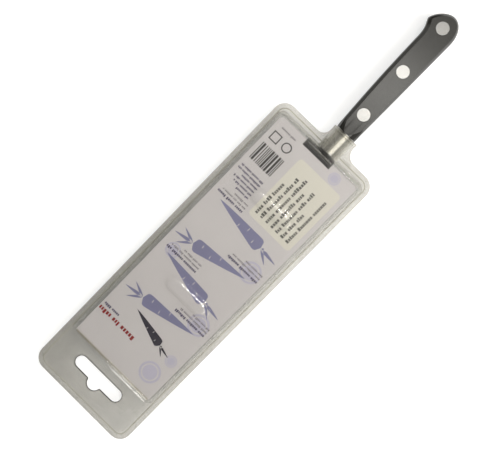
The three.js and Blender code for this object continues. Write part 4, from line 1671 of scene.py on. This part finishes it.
def root(sizes, scale):
    """A printed root vegetable: body with three creases, and three leaves."""
    reach = sizes.root_length * scale
    wide = sizes.root_width * scale
    body = spindle(reach, wide, shoulder=0.1, taper=0.8)
    crease = 0.2 * wide
    creases = [
        block(reach * along, wide * across - crease / 2, 0.045 * wide, crease)
        for along, across in ((0.16, 0.16), (0.34, -0.16), (0.5, 0.16))
    ]
    leaf = spindle(sizes.leaf_length * scale, 0.3 * wide, shoulder=0.5, taper=0.7)
    gap = Vector((-0.05 * wide, 0))
    leaves = [
        [Matrix.Rotation(math.pi + lean, 2) @ point * part + gap for point in leaf]
        for lean, part in ((-0.55, 0.8), (0, 1), (0.55, 0.8))
    ]
    return [body, *creases, *leaves]


def rounds(radius, parts):
    """Circles about one centre; parts are shares of the radius."""
    last = 1.95 * math.pi
    return [arc((0, 0), radius * part, 0, last, RING_STEPS) for part in parts]


def slice_rings(sizes, scale):
    """A pale printed slice: a round with a bare ring in it."""
    return rounds(sizes.slice_radius * scale, (1, 0.8, 0.68))


def bar_row(draw, sizes):
    """A row of plain bars of mixed widths."""
    bars = []
    x = 0
    while x < sizes.bars_width:
        wide = draw.choice(BAR_WIDTHS) * MM
        bars.append(block(x, 0, wide, sizes.bars_height))
        x += wide + draw.choice(BAR_GAPS) * MM
    return bars


def ring_sign(radius):
    """A plain ring."""
    return rounds(radius, (1, 0.78))


def frame_sign(side):
    """A plain square with a bare middle."""
    inner = 0.78 * side
    return [block(-wide / 2, -wide / 2, wide, wide) for wide in (side, inner)]


def card_drawings(sizes):
    """Outlines of the card's plain print for each ink. Places are u, v in millimetres, turns in degrees."""
    draw = random.Random(7)
    inks = {name: [] for name in ("pale", "blue", "dark", "red", "violet", "grey", "black")}

    def write(ink, reach, tall, u, v):
        """Prints a line of blocks across the card; reach is in millimetres."""
        inks[ink] += placed(block_line(draw, reach * MM, tall), u, v, 90)

    slices = ((40, -17, 1), (52, -21, 0.55), (76, -18, 1), (95, 19, 0.7), (115, -18, 1), (180, -15, 0.55))
    for u, v, scale in slices:
        inks["pale"] += placed(slice_rings(sizes, scale), u, v, 0)
    for u, v, turn in ((66, 13, -82), (87, -12, 81), (105, 14, -80), (128, -13, 84)):
        inks["blue"] += placed(root(sizes, 1), u, v, turn)
    inks["dark"] += placed(root(sizes, 0.68), 54, -11, 76)
    write("red", 24, sizes.heading, 47.5, 1.5)
    write("violet", 10, sizes.bold_line, 50.5, 15.5)
    for u, v, reach in ((74.3, -24, 21), (95.5, 2.5, 21), (114, -24, 21), (135, 7, 17)):
        write("violet", reach, sizes.bold_line, u, v)
        for number, part in enumerate((0.9, 0.55), 1):
            write("grey", part * reach, sizes.small_line, u + number * sizes.small_pitch / MM, v)
    for number, part in enumerate((0.6, 0.8, 0.9, 0.7, 1, 1)):
        write("violet", part * 15, sizes.small_line, 142 + number * sizes.list_pitch / MM, 9.6)
    inks["black"] += placed(bar_row(draw, sizes), 168.5, 9.6, 90)
    inks["black"] += placed(frame_sign(sizes.square_side), 174.2, 21.5, 0)
    inks["black"] += placed(ring_sign(sizes.ring_radius), 174.2, 13.6, 0)
    write("grey", 9, sizes.small_line, 180.6, 13)
    return inks


def label_drawing(sizes):
    """Outlines of the label's lines of blocks."""
    draw = random.Random(11)
    corner = Vector((LABEL_LOW.x + sizes.label_margin, LABEL_LOW.y + sizes.label_margin))
    bare_ends = 2.6 * sizes.label_margin
    reach = LABEL_HIGH.x - LABEL_LOW.x - bare_ends
    lines = []
    for number, part in enumerate(LABEL_LINES):
        blocks = block_line(draw, part * reach, sizes.label_line, number * sizes.label_pitch)
        lines += [[point + corner for point in outline] for outline in blocks]
    return lines


def ink_finish(name, rgb):
    """A thin film of ink."""
    return plain_finish(name, rgb, roughness=0.5, broad=90, fine=6000, variation=0.06, depth=0.004 * MM)


class CARD_OT_print(bpy.types.Operator):
    """Models the card's plain print as thin films of ink"""

    bl_idname = "knife_pack.card_print"
    bl_label = "Card print"

    def execute(self, context):
        finishes = context.scene.finishes
        for name, outlines in card_drawings(context.scene.print_sizes).items():
            top = CARD_HIGH.z + (INK_THICKNESS if name == "pale" else 2 * INK_THICKNESS)
            film = cut_out(f"ink_{name}", outlines, CARD_HIGH.z - INK_SINK, top)
            ink = ink_finish(f"ink_{name}", getattr(finishes, f"ink_{name}"))
            finish_piece(film, [ink], "back_half", "printed_card")
        return {"FINISHED"}


class CARD_OT_label(bpy.types.Operator):
    """Models the cream label and its lines of blocks"""

    bl_idname = "knife_pack.label"
    bl_label = "Label"

    def execute(self, context):
        sizes = context.scene.print_sizes
        finishes = context.scene.finishes
        label = pad("sticker", LABEL_LOW, LABEL_HIGH, sizes.label_corner, CORNER_STEPS)
        smooth(label, degrees=30)
        paper = plain_finish(
            "sticker_paper", finishes.label, roughness=0.6, broad=60, fine=7000, variation=0.03,
            depth=0.008 * MM,
        )
        finish_piece(label, [paper], "back_half", "label_paper", "label")
        paper_top = LABEL_HIGH.z
        lines = cut_out("label_lines", label_drawing(sizes), paper_top - INK_SINK, paper_top + INK_THICKNESS)
        finish_piece(lines, [ink_finish("label_ink", finishes.ink_label)], "back_half", "label_paper")
        return {"FINISHED"}


# The studio


def soft_light(tree, direction, towards, width, strength):
    """Strength of a soft round light in the sky, which fades out at a width in degrees from its middle."""
    facing = put(tree, "ShaderNodeVectorMath", operation="DOT_PRODUCT")
    tree.links.new(direction, facing.inputs[0])
    facing.inputs[1].default_value = Vector(towards).normalized()
    fade = put(tree, "ShaderNodeMapRange", interpolation_type="SMOOTHSTEP")
    fill_in(fade, From_Min=math.cos(math.radians(width)), From_Max=1, To_Min=0, To_Max=strength)
    tree.links.new(facing.outputs["Value"], fade.inputs["Value"])
    return fade.outputs["Result"]


def sky(stage):
    """World: a studio that is dark overhead and on the edge side, with soft lights; the eye sees it white."""
    world = bpy.data.worlds.new("studio")
    world.use_nodes = True
    tree = world.node_tree
    tree.nodes.clear()
    output = put(tree, "ShaderNodeOutputWorld")
    where = put(tree, "ShaderNodeTexCoord")
    split = put(tree, "ShaderNodeSeparateXYZ")
    direction = where.outputs["Generated"]
    tree.links.new(direction, split.inputs[0])
    walls = spread(tree, split.outputs["Y"], stage.spine_wall, stage.edge_wall)
    fill_in(walls.node, From_Min=WALL_FADE[0], From_Max=WALL_FADE[1])
    total = spread(tree, split.outputs["Z"], 0, stage.room_top)
    fill_in(total.node, From_Min=ROOM_FADE[0], From_Max=ROOM_FADE[1])
    tree.links.new(walls, total.node.inputs["To Min"])
    lights = (
        (SOFT_BOX, stage.box_level), (OVERHEAD, stage.overhead_level),
        (CEILING, stage.ceiling_level), (SCREEN, stage.screen_level),
    )
    for (towards, width), strength in lights:
        total = maths(tree, "ADD", total, soft_light(tree, direction, towards, width, strength))
    lit = put(tree, "ShaderNodeBackground")
    fill_in(lit, Color=opaque(stage.warmth))
    tree.links.new(total, lit.inputs["Strength"])
    white = put(tree, "ShaderNodeBackground")
    fill_in(white, Color=(1, 1, 1, 1), Strength=1.0)
    rays = put(tree, "ShaderNodeLightPath")
    choice = mix_shaders(tree, rays.outputs["Is Camera Ray"], lit.outputs[0], white.outputs[0])
    tree.links.new(choice, output.inputs["Surface"])
    return world


def hang_lamp(light, rgb, strength, place):
    """Hangs a lamp at a place, turned towards the origin, unseen by the eye."""
    light.color = rgb
    light.energy = strength
    held = bpy.data.objects.new(light.name, light)
    held.location = place
    held.rotation_euler = Vector(place).to_track_quat("Z", "Y").to_euler()
    held.visible_camera = False
    bpy.context.collection.objects.link(held)
    return held


def key_lamp(stage):
    """Square lamp near the handle, so that its light falls off towards the hang tab; nothing mirrors it."""
    light = bpy.data.lights.new("key", "AREA")
    light.size = stage.key_size
    held = hang_lamp(light, stage.warmth, stage.key_level, stage.key_place)
    held.visible_glossy = False


def distant_lamp(stage, name, strength, towards, width):
    """Small distant lamp, which folds and bosses mirror; width is its angle in the sky."""
    light = bpy.data.lights.new(name, "SUN")
    light.angle = math.radians(width)
    return hang_lamp(light, stage.warmth, strength, towards)


def floor_finish(stage):
    """White floor that keeps the shadow, with a little light of its own for the eye."""
    material, tree, output = new_material("pale_floor")
    matt = put(tree, "ShaderNodeBsdfDiffuse")
    fill_in(matt, Color=opaque(stage.floor_grey))
    glow = put(tree, "ShaderNodeEmission")
    rays = put(tree, "ShaderNodeLightPath")
    seen = maths(tree, "MAXIMUM", rays.outputs["Is Camera Ray"], rays.outputs["Is Glossy Ray"])
    seen = maths(tree, "MAXIMUM", seen, rays.outputs["Is Transmission Ray"])
    tree.links.new(maths(tree, "MULTIPLY", seen, stage.floor_lift), glow.inputs["Strength"])
    both = put(tree, "ShaderNodeAddShader")
    tree.links.new(matt.outputs[0], both.inputs[0])
    tree.links.new(glow.outputs[0], both.inputs[1])
    tree.links.new(both.outputs[0], output.inputs["Surface"])
    return material


class STAGE_OT_studio(bpy.types.Operator):
    """Sets up the floor, the lamps, the world and the camera"""

    bl_idname = "knife_pack.studio"
    bl_label = "Studio"

    def execute(self, context):
        stage = context.scene.stage_sizes
        clear_selection()
        bpy.ops.mesh.primitive_plane_add(size=stage.floor, location=(0, 0, CAD_LOW.z - FLOOR_GAP))
        floor = settle(context.object, "floor")
        floor.data.materials.append(floor_finish(stage))
        key_lamp(stage)
        distant_lamp(stage, "side", stage.side_level, *SIDE_LAMP)
        low_lamps = (
            distant_lamp(stage, "tab", stage.tab_level, *TAB_LAMP),
            distant_lamp(stage, "edge", stage.edge_level, *EDGE_LAMP),
        )
        for lamp in low_lamps:
            lamp.visible_diffuse = False
        context.scene.world = sky(stage)
        context.scene.view_settings.view_transform = "Standard"
        camera = bpy.data.objects.new("camera", bpy.data.cameras.new("camera"))
        camera.location = stage.camera_place
        camera.rotation_euler = stage.camera_turn
        camera.data.sensor_width = SENSOR_MM
        camera.data.lens = stage.lens
        camera.data.clip_end = VIEW_REACH
        context.collection.objects.link(camera)
        context.scene.camera = camera
        return {"FINISHED"}


# Panel and registration


class VIEW3D_PT_knife_pack(bpy.types.Panel):
    """Lists the pieces in the order in which they are made"""

    bl_label = "Knife Pack"
    bl_space_type = "VIEW_3D"
    bl_region_type = "UI"
    bl_category = "Knife Pack"

    def draw(self, context):
        for operator in OPERATORS:
            self.layout.operator(operator.bl_idname)


OPERATORS = (
    PACK_OT_front_shell, PACK_OT_back_shell, KNIFE_OT_blade, KNIFE_OT_scales, KNIFE_OT_rivets,
    CARD_OT_card, CARD_OT_print, CARD_OT_label, STAGE_OT_studio,
)
GROUPS = {
    "pack_sizes": PackSizes, "knife_sizes": KnifeSizes, "print_sizes": PrintSizes,
    "finishes": Finishes, "stage_sizes": StageSizes,
}


def register():
    for kind in (*GROUPS.values(), *OPERATORS, VIEW3D_PT_knife_pack):
        bpy.utils.register_class(kind)
    for name, kind in GROUPS.items():
        setattr(bpy.types.Scene, name, bpy.props.PointerProperty(type=kind))


def unregister():
    for name in GROUPS:
        delattr(bpy.types.Scene, name)
    for kind in reversed((*GROUPS.values(), *OPERATORS, VIEW3D_PT_knife_pack)):
        bpy.utils.unregister_class(kind)


def main():
    """Makes every piece in order."""
    register()
    for operator in OPERATORS:
        family, name = operator.bl_idname.split(".")
        getattr(getattr(bpy.ops, family), name)()


if __name__ == "__main__":
    main()
